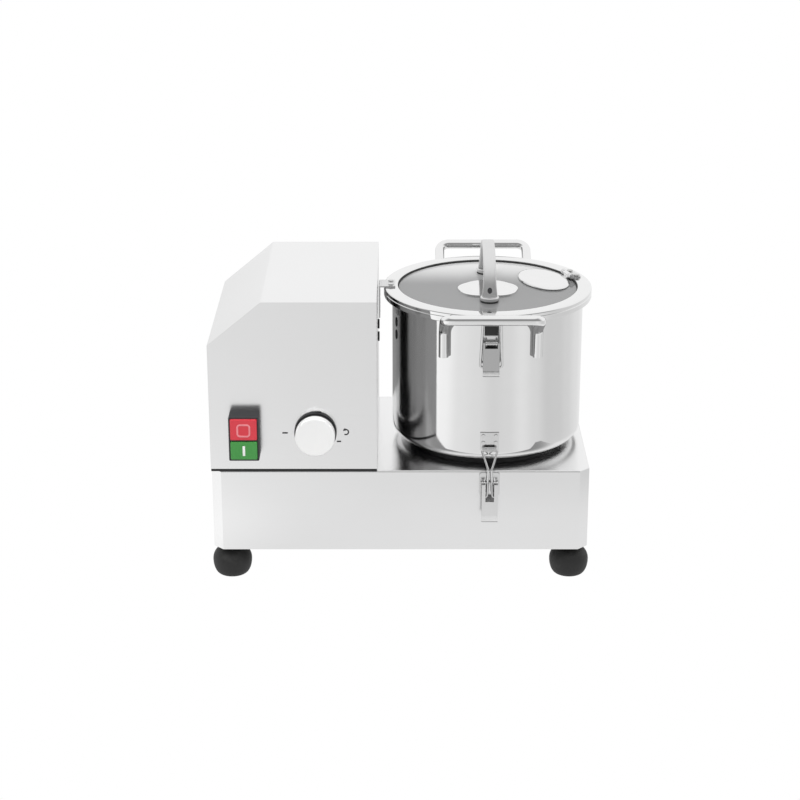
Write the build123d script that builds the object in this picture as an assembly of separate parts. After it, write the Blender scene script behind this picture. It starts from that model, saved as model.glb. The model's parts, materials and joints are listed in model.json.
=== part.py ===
from build123d import *
import math
import os

# A commercial food chopper: motor under a folded hood on the left, bowl with knives on the right.
# Millimetres. +X is right, -Y is the front, +Z is up. Z = 0 is the table.

# Base and feet
base_margin = 13
base_height = 95
corner_cut = 11
base_sheet = 1.5
base_edge_round = 2.0
flange_width = 16
plate_thickness = 2.0
plate_gap = 0.3
foot_height = 38
foot_radius = 22
foot_neck_radius = 10.5
foot_neck_height = 7
foot_belly_height = 17
foot_sole_radius = 14
foot_inset_x = 19
foot_inset_y = 24
foot_screw_radius = 3
foot_screw_over = 6
plate_screw_radius = 2
plate_screw_over = 4
plate_vent_width = 4
plate_vent_length = 60
plate_vent_count = 8
plate_vent_pitch = 10

# Hood over the motor
hood_clearance = 30
hood_height = 195
hood_slope_run = 59
hood_slope_drop = 49
hood_sheet = 1.2
hood_seal_height = 1.6
hood_seal_inset = 1.0
hood_flange_width = 12
vent_length = 56
vent_width = 3
vent_pitch = 9
vent_count = 8
vent_top_drop = 40
vent_column_half = 6
gland_radius = 9
gland_height = 34
gland_inside = 8
gland_collar = 6
gland_tail = 14
gland_tail_step = 2
gland_nut_border = 3
gland_nut_height = 5
gland_locknut_height = 4

# Bowl
ring_gap = 7
ring_side_overhang = 6
bowl_radius = 108
bowl_wall = 1.5
bowl_corner = 12
bowl_rim_z = 302
bowl_rim_reach = 5.5
bowl_rim_thickness = 1.8
bowl_lift = 5.0
tube_bore = 24.5
tube_wall = 1.5
tube_height = 62
seat_inset = 8
seat_inner_radius = 30
seat_land = 20
seat_step = 2

# Lid
ring_over_rim = 4
ring_band = 15.9
ring_sheet = 1.5
ring_lip = 3
ring_edge_round = 1.2
ring_overhang = 1.0
window_thickness = 4
window_gap = 0.4
gasket_inset = 5
gasket_reach = 3
gasket_thickness = 3
feed_angle = 20
feed_ring_gap = 6.6
feed_half_radial = 26
feed_half_along = 42
feed_rim = 5
cap_thickness = 2.5
cap_lift = 0.4
cap_spigot = 2
cap_hinge_radius = 3
cap_axis_inset = 2.5
cap_axis_rise = 2
cap_pin_radius = 1.2
cap_knuckle = 12
hinge_leaf_height = 1.2
hinge_leaf_depth = 9
hinge_leaf_side = 6
hinge_side_gap = 0.3
hinge_web_under = 0.6
hinge_web_over = 0.9
lid_handle_height = 53
lid_handle_half_span = 56
lid_handle_width = 14
lid_handle_thickness = 5
lid_handle_foot_radius = 10.5
lid_handle_foot_height = 4
lid_pad_height = 2
wing_half_width = 32
wing_half_depth = 30
wing_forward = 8
wing_thickness = 1.5

# Bowl handles
rod_radius = 5.5
handle_half_span = 51.5
handle_stand_off = 42
handle_bar_rise = 15
handle_foot_drop = 43
handle_knee_drop = 11
handle_sink = 2.0
handle_bend = 11

# Toggle latches, shared by the lid and the bowl
latch_sheet = 1.5
lever_half_width = 9
ear_half_width = 6.4
ear_thickness = 1.5
latch_pin_radius = 1.5
wire_radius = 1.25
wire_bend = 2.6
lower_wire_bend = 2.0
pin_clearance = 0.06
bar_gap = 0.35
catch_half_width = 8
lever_boss_radius = 2.6
ear_height = 12
ear_reach = 3
sleeve_radius = 2.4
bail_foot_lap = 0.1

# Lid latch, heights from the bowl's rim and distances out from the bowl wall
upper_pivot_drop = 23
upper_pivot_out = 5
upper_bail_drop = 49.5
upper_bail_out = 7.5
upper_web_out = 8.8
upper_web_over = 1.8
upper_slot_below = 4.5
upper_lever_drop = 53
upper_lip_drop = 59
upper_lip_out = 14
upper_bail_half = 12
upper_bar_half = 10
upper_bar_rise = 4
upper_base_top_drop = 4
upper_base_bottom_drop = 56

# Bowl latch, heights from the top of the base and distances out from its front
lower_pivot_drop = 13
lower_pivot_out = 5
lower_bail_drop = 27.5
lower_bail_out = 9
lower_web_out = 11.5
lower_web_over = 1.2
lower_slot_below = 19
lower_slot_half = 4.8
lower_lever_drop = 49
lower_lip_drop = 54.5
lower_lip_out = 18
lower_bail_half = 3
lower_waist_half = 1.8
lower_waist_rise = 4
lower_waist_out = 8
lower_bar_half = 9
lower_bar_rise = 22.5
lower_base_top_drop = 2
lower_base_bottom_drop = 29
lower_base_side = 5
lower_catch_top_rise = 40.5
lower_catch_bottom_rise = 20
nose_reach = 4.7
nose_height = 5
catch_plate_half = 10.5
catch_sink = 0.4
rivet_radius = 2.2
rivet_head = 1.2
rivet_half_span = 7
rivet_sink = 0.5
rivet_top_inset = 4
rivet_bottom_inset = 8.5

# Motor, belt and spindle
motor_radius = 56
motor_fin = 4
motor_fin_width = 2.5
motor_fin_count = 20
motor_body_height = 112
motor_bell_height = 14
motor_bell_inset = 6
motor_bell_lap = 4
motor_neck_inset = 8
motor_flange_half = 62
motor_flange_thickness = 6
motor_bolt_half = 50
shaft_radius = 8
shaft_tail = 10
pulley_drop = 33
pulley_height = 16
pulley_hub_height = 8
pulley_hub_wall = 8
motor_pulley_radius = 30
spindle_pulley_radius = 36
belt_width = 10
belt_depth = 7
belt_gap = 0.4
belt_angle_run = 2
capacitor_radius = 17
capacitor_length = 60
capacitor_side_gap = 8
capacitor_back_gap = 16
capacitor_lift = 3
capacitor_terminal_radius = 2
capacitor_terminal_height = 8
capacitor_terminal_half = 6
capacitor_band_sheet = 1.5
capacitor_band_low = 20
capacitor_band_high = 34
capacitor_pad_half = 10
housing_flange_radius = 50
housing_flange_thickness = 8
housing_pocket = 6
housing_bolt_radius = 41
boss_radius = 22
boss_bore = 17.5
spindle_radius = 8.5
spindle_step_radius = 11
bearing_height = 12
bolt_radius = 2.5
bolt_head_radius = 4.6
bolt_head_height = 3.5
bolt_over = 1.5
running_gap = 0.05

# Knives
hub_radius = 33
hub_wall = 4.5
hub_collar_radius = 41
hub_collar_height = 5
hub_floor_gap = 3
hub_top_height = 8
hub_neck_radius = 16
hub_neck_height = 4
hub_tube_gap = 4
boss_tube_gap = 3
spindle_over_hub = 18
knob_over_hub = 10
blade_thickness = 2.5
blade_wall_gap = 4.5
blade_ring_radius = 40
blade_tip_sweep = 26
blade_root_x = 22
lower_blade_turn = 20
upper_blade_turn = 110
blade_bevel = 7
blade_edge_land = 0.6
spacer_height = 34
clamp_height = 7
knob_radius = 17
knob_height = 22

# Switch and timer on the hood's front
switch_inset = 39
switch_width = 33
switch_rise = 20
switch_height = 50.5
switch_reach = 20
switch_depth_inside = 40
switch_border = 1.5
switch_rib = 1.2
button_height = 9
button_gap = 0.4
button_proud = 2.0
button_travel = 3.0
button_split_height = 23.5
timer_inset = 116.5
timer_rise = 46
knob_skirt_border = 1.4
knob_skirt_height = 3
knob_cap_radius = 21.8
knob_draft = 0.8
knob_reach = 18
knob_round = 3
timer_stem_radius = 3
timer_stem_inside = 18
timer_body_width = 44
timer_body_depth = 34
timer_neck_radius = 6
timer_neck_height = 2
panel_gap = 0.4

# Lid interlock
bracket_half_width = 13
bracket_sheet = 1.5
bracket_gap = 1.4
bracket_drop = 26
bracket_reach = 13
bracket_rivet_radius = 3
bracket_rivet_height = 1.4
bracket_rivet_inset = 8
interlock_cap_radius = 5.5
interlock_cap_height = 2.0
interlock_cap_drops = (11, 26)
interlock_case_depth = 14
interlock_case_half = 9
interlock_case_border = 8
interlock_case_over = 10

# Places worked out from the sizes above
bowl_rim_radius = bowl_radius + bowl_rim_reach
ring_radius = bowl_rim_radius + ring_over_rim
ring_inner_radius = ring_radius - ring_band
gasket_inner_radius = bowl_radius - gasket_inset
gasket_outer_radius = bowl_radius + gasket_reach
feed_centre = ring_inner_radius - feed_ring_gap - feed_half_radial
seat_outer_radius = bowl_radius - bowl_corner - seat_inset
blade_tip_radius = bowl_radius - bowl_wall - blade_wall_gap
handle_reach = bowl_radius + handle_stand_off
base_depth = 2 * (bowl_radius + base_margin)
hood_width = 2 * (motor_flange_half + hood_clearance)
ring_far_side = hood_width + ring_gap + 2 * ring_radius
base_width = ring_far_side - ring_side_overhang
base_x = (base_width - foot_inset_x + foot_radius - ring_far_side) / 2
base_bottom = foot_height
base_top = base_bottom + base_height
base_front = -base_depth / 2
base_ceiling = base_top - base_sheet
hood_bottom = base_top + hood_seal_height
hood_top = base_top + hood_height
hood_left = base_x - base_width / 2
hood_right = hood_left + hood_width
motor_x = (hood_left + hood_right) / 2
bowl_x = hood_right + ring_gap + ring_radius
switch_x = hood_left + switch_inset
timer_x = hood_left + timer_inset
knob_skirt_radius = knob_cap_radius + knob_skirt_border
bowl_bottom = base_top + bowl_lift
bowl_floor = bowl_bottom + bowl_wall
handle_bar_z = bowl_rim_z + handle_bar_rise
handle_foot_z = bowl_rim_z - handle_foot_drop
handle_knee_z = bowl_rim_z - handle_knee_drop
upper_pivot_z = bowl_rim_z - upper_pivot_drop
upper_bail_z = bowl_rim_z - upper_bail_drop
upper_lever_bottom = bowl_rim_z - upper_lever_drop
upper_lip_z = bowl_rim_z - upper_lip_drop
upper_bar_z = bowl_rim_z + upper_bar_rise
upper_base_top = bowl_rim_z - upper_base_top_drop
upper_base_bottom = bowl_rim_z - upper_base_bottom_drop
bracket_bottom_z = bowl_rim_z - bracket_drop
interlock_z = [bracket_bottom_z - drop for drop in interlock_cap_drops]
lower_pivot_z = base_top - lower_pivot_drop
lower_bail_z = base_top - lower_bail_drop
lower_lever_bottom = base_top - lower_lever_drop
lower_lip_z = base_top - lower_lip_drop
lower_waist_z = base_top + lower_waist_rise
lower_bar_z = base_top + lower_bar_rise
lower_base_top = base_top - lower_base_top_drop
lower_base_bottom = base_top - lower_base_bottom_drop
lower_catch_top = base_top + lower_catch_top_rise
lower_catch_bottom = base_top + lower_catch_bottom_rise
pulley_z = base_top - pulley_drop
switch_bottom_z = base_top + switch_rise
switch_top_z = switch_bottom_z + switch_height
button_split_z = switch_bottom_z + button_split_height
timer_z = base_top + timer_rise
tube_top = bowl_floor + tube_height
boss_top = tube_top - boss_tube_gap
window_bottom = bowl_rim_z + gasket_thickness
window_top = window_bottom + window_thickness
ring_top = window_top + ring_lip
ring_bottom = bowl_rim_z - ring_overhang
hub_bottom = bowl_floor + hub_floor_gap
hub_shoulder = tube_top + hub_tube_gap
hub_top = hub_shoulder + hub_top_height
hub_end = hub_top + hub_neck_height
blade_low_z = hub_bottom + hub_collar_height
blade_high_z = blade_low_z + blade_thickness + spacer_height
clamp_z = blade_high_z + blade_thickness
spindle_top = hub_top + spindle_over_hub
knob_bottom = hub_top + knob_over_hub
foot_places = [
    (base_x + side * (base_width / 2 - foot_inset_x), end * (base_depth / 2 - foot_inset_y))
    for side in (-1, 1)
    for end in (-1, 1)
]


def turned(points, x=0.0, y=0.0):
    """A solid of revolution from (radius, height) points about the vertical line at x, y."""
    outline = Polyline(*[(r, 0, z) for r, z in points], close=True)
    return Pos(x, y, 0) * revolve(make_face(outline), Axis.Z, 360)


def side_profile(points, width, x=0.0):
    """A (y, z) outline made into a prism of the given width, centred at x."""
    outline = Polyline(*[(0, y, z) for y, z in points], close=True)
    return Pos(x, 0, 0) * extrude(make_face(outline), amount=width / 2, both=True)


def front_profile(points, y, depth):
    """An (x, z) outline at y made into a prism that runs back by depth."""
    outline = Polyline(*[(x, y, z) for x, z in points], close=True)
    return extrude(make_face(outline), amount=depth, dir=(0, 1, 0))


def post(radius, low, high, x=0.0, y=0.0):
    """An upright cylinder between two heights."""
    return Pos(x, y, (low + high) / 2) * Cylinder(radius, high - low)


def plug(radius, y0, y1, x, z):
    """A cylinder along Y between y0 and y1."""
    return Pos(x, (y0 + y1) / 2, z) * Rot(90, 0, 0) * Cylinder(radius, abs(y1 - y0))


def bar(radius, x0, x1, y, z):
    """A cylinder along X between x0 and x1."""
    return Pos((x0 + x1) / 2, y, z) * Rot(0, 90, 0) * Cylinder(radius, abs(x1 - x0))


def block(x0, x1, y0, y1, z0, z1):
    """A box between two corners."""
    return Pos((x0 + x1) / 2, (y0 + y1) / 2, (z0 + z1) / 2) * Box(x1 - x0, y1 - y0, z1 - z0)


def cut_corner_block(width, depth, low, high, cut):
    """An upright block on the base's centre line with its four upright edges cut at 45 degrees."""
    body = Pos(base_x, 0, (low + high) / 2) * Box(width, depth, high - low)
    return chamfer(body.edges().filter_by(Axis.Z), cut)


def wire(points, radius, bend):
    """A round wire or rod along straight runs with rounded bends."""
    path = FilletPolyline(*points, radius=bend)
    return sweep(Plane(origin=path @ 0, z_dir=path % 0) * Circle(radius), path=path)


def bolt(x, y, under_head, tip, radius, head_radius, head_height, nut_face=None):
    """A hexagon bolt from under_head to its tip, up or down, with a nut against nut_face where one is given."""
    shank = post(radius, min(under_head, tip), max(under_head, tip), x, y)
    up = tip > under_head
    head = extrude(RegularPolygon(head_radius, 6), amount=head_height)
    piece = shank + Pos(x, y, under_head - head_height if up else under_head) * head
    if nut_face is not None:
        piece += Pos(x, y, nut_face if up else nut_face - head_height) * head
    return piece


def both_ends(piece):
    """The front piece, and the same piece turned round the bowl's axis to the back."""
    return [piece, at_rear(piece)]


def at_rear(piece):
    """A front piece turned half a turn round the bowl's axis."""
    return Pos(bowl_x, 0, 0) * Rot(0, 0, 180) * Pos(-bowl_x, 0, 0) * piece


# Base

def bearing_bolt_places():
    """Centres of the four bolts of the bearing housing."""
    reach = housing_bolt_radius / math.sqrt(2)
    return [(bowl_x + i * reach, j * reach) for i in (-1, 1) for j in (-1, 1)]


def motor_bolt_places():
    """Centres of the four bolts of the motor's flange."""
    return [(motor_x + i * motor_bolt_half, j * motor_bolt_half) for i in (-1, 1) for j in (-1, 1)]


def hood_bolt_places():
    """Centres of the four bolts that hold the hood's flange."""
    inset = hood_sheet + hood_flange_width / 2
    xs = (hood_left + inset, hood_right - inset)
    return [(x, side * (base_depth / 2 - 2 * foot_inset_y)) for x in xs for side in (-1, 1)]


def plate_screw_places():
    """Centres of the six screws of the bottom plate."""
    inset = base_sheet + flange_width / 2
    reach_y = base_depth / 2 - inset
    rows = (-base_width / 2 + 3 * foot_inset_x, 0, base_width / 2 - 3 * foot_inset_x)
    return [(base_x + x, side * reach_y) for x in rows for side in (-1, 1)]


def base_housing():
    outer = cut_corner_block(base_width, base_depth, base_bottom, base_top, corner_cut)
    outer = fillet(outer.edges().group_by(Axis.Z)[-1], base_edge_round)
    inside_cut = corner_cut - base_sheet * (2 - math.sqrt(2))
    inner_width = base_width - 2 * base_sheet
    inner_depth = base_depth - 2 * base_sheet
    shell = outer - cut_corner_block(inner_width, inner_depth, base_bottom, base_ceiling, inside_cut)
    flange_low = base_bottom + plate_thickness
    flange = cut_corner_block(inner_width, inner_depth, flange_low, flange_low + base_sheet, inside_cut)
    flange -= cut_corner_block(
        inner_width - 2 * flange_width, inner_depth - 2 * flange_width,
        flange_low, flange_low + base_sheet, inside_cut,
    )
    shell += flange
    for x, y in plate_screw_places() + foot_places:
        hole = foot_screw_radius if (x, y) in foot_places else plate_screw_radius
        shell -= post(hole + running_gap, flange_low, flange_low + base_sheet, x, y)
    shell -= post(boss_radius + panel_gap, base_ceiling, base_top, bowl_x)
    shell -= post(shaft_radius * 2, base_ceiling, base_top, motor_x)
    for x, y in bearing_bolt_places() + motor_bolt_places() + hood_bolt_places():
        shell -= post(bolt_radius + running_gap, base_ceiling, base_top, x, y)
    return shell


def base_plate():
    inside_cut = corner_cut - base_sheet * (2 - math.sqrt(2))
    width = base_width - 2 * (base_sheet + plate_gap)
    depth = base_depth - 2 * (base_sheet + plate_gap)
    high = base_bottom + plate_thickness
    plate = cut_corner_block(width, depth, base_bottom, high, inside_cut)
    for x, y in foot_places:
        plate -= post(foot_screw_radius + running_gap, base_bottom, high, x, y)
    for x, y in plate_screw_places():
        plate -= post(plate_screw_radius + running_gap, base_bottom, high, x, y)
    for i in range(plate_vent_count):
        x = motor_x + (i - (plate_vent_count - 1) / 2) * plate_vent_pitch
        half = plate_vent_length / 2
        plate -= block(x - plate_vent_width / 2, x + plate_vent_width / 2, -half, half, base_bottom, high)
    return plate


def base_plate_screws():
    face = base_bottom + plate_thickness + base_sheet
    head = plate_screw_radius * 2
    return [
        bolt(x, y, base_bottom, face + plate_screw_over, plate_screw_radius, head, plate_screw_radius, face)
        for x, y in plate_screw_places()
    ]


def foot(x, y):
    """A rubber foot: a straight neck, a round belly and a flat sole, with a counterbore for its screw."""
    neck_low = foot_height - foot_neck_height
    outline = (
        Line((0, 0, foot_height), (foot_neck_radius, 0, foot_height))
        + Line((foot_neck_radius, 0, foot_height), (foot_neck_radius, 0, neck_low))
        + Spline(
            (foot_neck_radius, 0, neck_low), (foot_radius, 0, foot_belly_height), (foot_sole_radius, 0, 0),
            tangents=[(1, 0, -0.4), (0, 0, -1), (-1, 0, -0.5)],
        )
        + Line((foot_sole_radius, 0, 0), (0, 0, 0))
        + Line((0, 0, 0), (0, 0, foot_height))
    )
    body = Pos(x, y, 0) * revolve(make_face(outline), Axis.Z, 360)
    body -= post(foot_screw_radius + running_gap, 0, foot_height, x, y)
    return body - post(foot_screw_radius * 2.2, 0, foot_height / 4, x, y)


def foot_screws():
    face = base_bottom + plate_thickness + base_sheet
    head = foot_screw_radius * 1.8
    seat = foot_height / 4
    return [
        bolt(x, y, seat, face + foot_screw_over, foot_screw_radius, head, foot_screw_radius, face)
        for x, y in foot_places
    ]


# Hood

def hood_outline(inset, low):
    """The five-sided front outline of the hood, moved in by inset, with its lower edge at low."""
    slope = math.atan2(hood_slope_drop, hood_slope_run)
    left = hood_left + inset
    right = hood_right - inset
    top = hood_top - inset
    along = inset * math.tan((math.pi / 2 - slope) / 2)
    back = inset * math.tan(slope / 2)
    return [
        (left, low), (right, low), (right, top),
        (hood_left + hood_slope_run + back, top),
        (left, hood_top - hood_slope_drop - along),
    ]


def motor_hood():
    outer = front_profile(hood_outline(0, hood_bottom), base_front, base_depth)
    inner_front = base_front + hood_sheet
    inner_depth = base_depth - 2 * hood_sheet
    shell = outer - front_profile(hood_outline(hood_sheet, hood_bottom), inner_front, inner_depth)
    x0 = hood_left + hood_sheet
    x1 = hood_right - hood_sheet
    y0 = inner_front
    flange = block(x0, x1, y0, -y0, hood_bottom, hood_bottom + hood_sheet)
    w = hood_flange_width
    flange -= block(x0 + w, x1 - w, y0 + w, -y0 - w, hood_bottom, hood_bottom + hood_sheet)
    shell += flange
    for x, y in hood_bolt_places():
        shell -= post(bolt_radius + running_gap, hood_bottom, hood_bottom + hood_sheet, x, y)
    half = switch_width / 2 - switch_border
    shell -= block(
        switch_x - half, switch_x + half, base_front, inner_front,
        switch_bottom_z + switch_border, switch_top_z - switch_border,
    )
    shell -= plug(timer_stem_radius + panel_gap, base_front, inner_front, timer_x, timer_z)
    for z in interlock_z:
        shell -= bar(bolt_radius + running_gap, x1, hood_right, 0, z)
    for i in range(vent_count):
        z = hood_top - vent_top_drop - i * vent_pitch
        for side in (-1, 1):
            x = motor_x + side * (vent_length / 2 + vent_column_half)
            slot = Pos(x, -y0 + hood_sheet / 2, z) * Rot(90, 0, 0) * extrude(
                SlotOverall(vent_length, vent_width), amount=hood_sheet, both=True)
            shell -= slot
    shell -= plug(gland_radius + running_gap, -y0, base_depth / 2, motor_x, base_top + gland_height)
    return shell


def hood_seal():
    w = hood_flange_width
    x0 = hood_left + hood_seal_inset
    x1 = hood_right - hood_seal_inset
    y0 = base_front + hood_seal_inset
    strip = block(x0, x1, y0, -y0, base_top, hood_bottom)
    strip -= block(x0 + w, x1 - w, y0 + w, -y0 - w, base_top, hood_bottom)
    for x, y in hood_bolt_places():
        strip -= post(bolt_radius + running_gap, base_top, hood_bottom, x, y)
    return strip


def frame_bolts():
    size = (bolt_radius, bolt_head_radius, bolt_head_height)
    spare = bolt_head_height + bolt_over
    bolts = []
    for x, y in bearing_bolt_places():
        face = base_ceiling - housing_flange_thickness
        bolts.append(bolt(x, y, base_top, face - spare, *size, face))
    for x, y in motor_bolt_places():
        face = base_top + motor_flange_thickness
        bolts.append(bolt(x, y, base_ceiling, face + spare, *size, face))
    for x, y in hood_bolt_places():
        face = hood_bottom + hood_sheet
        bolts.append(bolt(x, y, base_ceiling, face + spare, *size, face))
    return bolts


def cable_gland():
    """A stepped gland through the hood's back wall."""
    z = base_top + gland_height
    back = base_depth / 2
    inside = back - hood_sheet - gland_inside
    collar = back + gland_collar
    tail = back + gland_tail
    hexagon = RegularPolygon(gland_radius + gland_nut_border, 6)
    body = plug(gland_radius, inside, collar, motor_x, z)
    body += Pos(motor_x, back, z) * Rot(-90, 0, 0) * extrude(hexagon, amount=gland_nut_height)
    body += Pos(motor_x, back - hood_sheet, z) * Rot(90, 0, 0) * extrude(hexagon, amount=gland_locknut_height)
    body += plug(gland_radius - gland_tail_step, collar, tail, motor_x, z)
    return body - plug(gland_radius / 2, inside, tail, motor_x, z)


# Motor and drive

def motor_housing():
    low = base_top
    flange_top = low + motor_flange_thickness
    stator_low = flange_top + motor_bell_height
    stator_high = stator_low + motor_body_height
    neck = motor_radius - motor_neck_inset
    top = stator_high + motor_bell_height
    body = turned(
        [
            (0, low), (neck, low), (neck, flange_top), (motor_radius, flange_top + motor_bell_lap),
            (motor_radius, stator_high + motor_bell_lap), (motor_radius - motor_bell_inset, top), (0, top),
        ],
        motor_x,
    )
    half = motor_flange_half
    flange = block(motor_x - half, motor_x + half, -half, half, low, flange_top)
    flange = fillet(flange.edges().filter_by(Axis.Z), motor_flange_half - motor_bolt_half)
    body += flange
    for i in range(motor_fin_count):
        fin = Box(motor_fin + 1, motor_fin_width, motor_body_height)
        turn = Rot(0, 0, i * 360 / motor_fin_count)
        body += Pos(motor_x, 0, (stator_low + stator_high) / 2) * turn * Pos(
            motor_radius + (motor_fin - 1) / 2, 0, 0) * fin
    for x, y in motor_bolt_places():
        body -= post(bolt_radius + running_gap, low, flange_top, x, y)
    return body - post(shaft_radius + running_gap, low, stator_low, motor_x)


def pulley(radius, bore, x):
    """A turned pulley with a V groove for the belt and a hub below it."""
    low = pulley_z - pulley_height / 2
    high = pulley_z + pulley_height / 2
    half = belt_width / 2 + belt_gap
    floor = radius - belt_depth - 1
    hub = bore + pulley_hub_wall
    return turned(
        [
            (bore, low - pulley_hub_height), (hub, low - pulley_hub_height), (hub, low), (radius, low),
            (radius, pulley_z - half), (floor, pulley_z - half + belt_angle_run),
            (floor, pulley_z + half - belt_angle_run), (radius, pulley_z + half), (radius, high), (bore, high),
        ],
        x,
    )


def motor_shaft():
    low = pulley_z - pulley_height / 2 - shaft_tail
    return post(shaft_radius, low, base_top + motor_flange_thickness + motor_bell_height - 1, motor_x)


def belt_loop(motor_r, spindle_r):
    """The flat face inside the tangent loop round two circles on the drive's centre line."""
    spacing = bowl_x - motor_x
    lean = math.asin((spindle_r - motor_r) / spacing)
    c = math.cos(lean)
    s = math.sin(lean)
    m_top = (motor_x - motor_r * s, motor_r * c)
    m_low = (motor_x - motor_r * s, -motor_r * c)
    s_top = (bowl_x - spindle_r * s, spindle_r * c)
    s_low = (bowl_x - spindle_r * s, -spindle_r * c)
    loop = (
        Line(m_top, s_top)
        + ThreePointArc(s_top, (bowl_x + spindle_r, 0), s_low)
        + Line(s_low, m_low)
        + ThreePointArc(m_low, (motor_x - motor_r, 0), m_top)
    )
    return make_face(loop)


def drive_belt():
    """A V-belt: wide outside and narrower inside, made as a tapered loop less its inner space."""
    inner = belt_depth - belt_gap
    low = pulley_z - belt_width / 2
    outer_face = Pos(0, 0, low) * belt_loop(motor_pulley_radius - belt_gap, spindle_pulley_radius - belt_gap)
    loop = extrude(outer_face, amount=belt_width)
    inner_face = belt_loop(motor_pulley_radius - inner, spindle_pulley_radius - inner)
    loop -= extrude(Pos(0, 0, low) * inner_face, amount=belt_width)
    half_taper = belt_angle_run
    for height, sign in ((low, 1), (low + belt_width, -1)):
        wide = Pos(0, 0, height) * belt_loop(
            motor_pulley_radius - belt_gap, spindle_pulley_radius - belt_gap)
        narrow = Pos(0, 0, height + sign * half_taper) * belt_loop(
            motor_pulley_radius - inner, spindle_pulley_radius - inner)
        loop -= loft([wide, narrow]) if sign > 0 else loft([narrow, wide])
    return loop


def run_capacitor():
    """The motor's run capacitor on its bracket, standing beside the motor."""
    r = capacitor_radius
    x = hood_right - hood_sheet - r - capacitor_side_gap
    y = base_depth / 2 - hood_sheet - r - capacitor_back_gap
    low = base_top + capacitor_lift
    high = low + capacitor_length
    can = post(r, low, high, x, y)
    can = chamfer(can.edges().group_by(Axis.Z)[-1], capacitor_terminal_radius)
    for side in (-1, 1):
        terminal_x = x + side * capacitor_terminal_half
        can += post(capacitor_terminal_radius, high, high + capacitor_terminal_height, terminal_x, y)
    band = post(r + capacitor_band_sheet, low + capacitor_band_low, low + capacitor_band_high, x, y)
    pad = block(x - capacitor_pad_half, x + capacitor_pad_half, y - r, y + r, base_top, low)
    return can + band + pad


def bearing_housing():
    flange_low = base_ceiling - housing_flange_thickness
    pocket_low = flange_low - housing_pocket
    pocket_radius = boss_radius + housing_pocket
    body = turned(
        [
            (boss_bore, pocket_low), (pocket_radius, pocket_low), (pocket_radius, flange_low),
            (housing_flange_radius, flange_low), (housing_flange_radius, base_ceiling),
            (boss_radius, base_ceiling), (boss_radius, boss_top - 1), (boss_radius - 1, boss_top),
            (boss_bore, boss_top),
        ],
        bowl_x,
    )
    for x, y in bearing_bolt_places():
        body -= post(bolt_radius + running_gap, flange_low, base_ceiling, x, y)
    return body


def spindle_bearings():
    """Two ball bearings, each made as one closed ring between the housing and the spindle."""
    lows = (base_ceiling - housing_flange_thickness - housing_pocket, boss_top - bearing_height)
    rings = []
    for low in lows:
        inner = spindle_radius + running_gap
        shape = [
            (inner, low), (boss_bore, low), (boss_bore, low + bearing_height),
            (inner, low + bearing_height),
        ]
        rings.append(turned(shape, bowl_x))
    return rings


def spindle():
    """The upright spindle: plain at its bearings, stepped between them, with two driving flats on top."""
    lower_bearing_top = base_ceiling - housing_flange_thickness - housing_pocket + bearing_height
    low = pulley_z - pulley_height / 2 - shaft_tail
    body = turned(
        [
            (0, low), (spindle_radius, low), (spindle_radius, lower_bearing_top + 1),
            (spindle_step_radius, lower_bearing_top + 1), (spindle_step_radius, boss_top - bearing_height - 1),
            (spindle_radius, boss_top - bearing_height - 1), (spindle_radius, spindle_top - 1),
            (spindle_radius - 1, spindle_top), (0, spindle_top),
        ],
        bowl_x,
    )
    for side in (-1, 1):
        body -= spindle_flat(side, 0.0)
    return body


def spindle_flat(side, gap):
    """The space cut away at one driving flat, moved out by gap."""
    face = spindle_radius - 1.5 + gap
    x0 = bowl_x + side * face
    x1 = bowl_x + side * (spindle_radius + 2)
    return block(min(x0, x1), max(x0, x1), -spindle_radius, spindle_radius, hub_shoulder, spindle_top)


def bowl_seat():
    """The dark ring on the base that the bowl stands on, with a raised lip inside the bowl's corner."""
    groove = seat_outer_radius - seat_land
    step = bowl_bottom - seat_step
    body = turned(
        [
            (seat_inner_radius, base_top), (seat_outer_radius, base_top), (seat_outer_radius, bowl_bottom - 1),
            (seat_outer_radius - 1, bowl_bottom), (groove, bowl_bottom), (groove, step), (seat_inner_radius, step),
        ],
        bowl_x,
    )
    for x, y in bearing_bolt_places():
        body -= post(bolt_head_radius + 1, base_top, bowl_bottom, x, y)
    return body


# Bowl

def bowl():
    """A spun pan: rolled rim, straight wall, rounded corner, flat floor and an upright centre tube."""
    r = bowl_radius
    c = bowl_corner
    t = bowl_wall
    k = math.sqrt(0.5)
    tube = tube_bore + tube_wall
    rim_low = bowl_rim_z - bowl_rim_thickness
    outline = (
        Polyline(
            (tube_bore, 0, bowl_bottom), (tube_bore, 0, tube_top), (tube, 0, tube_top),
            (tube, 0, bowl_floor), (r - c, 0, bowl_floor),
        )
        + ThreePointArc(
            (r - c, 0, bowl_floor), (r - c + (c - t) * k, 0, bowl_bottom + c - (c - t) * k),
            (r - t, 0, bowl_bottom + c),
        )
        + Polyline(
            (r - t, 0, bowl_bottom + c), (r - t, 0, bowl_rim_z), (bowl_rim_radius, 0, bowl_rim_z),
            (bowl_rim_radius, 0, rim_low), (r, 0, rim_low), (r, 0, bowl_bottom + c),
        )
        + ThreePointArc(
            (r, 0, bowl_bottom + c), (r - c + c * k, 0, bowl_bottom + c - c * k), (r - c, 0, bowl_bottom),
        )
        + Line((r - c, 0, bowl_bottom), (tube_bore, 0, bowl_bottom))
    )
    return Pos(bowl_x, 0, 0) * revolve(make_face(outline), Axis.Z, 360)


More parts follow.
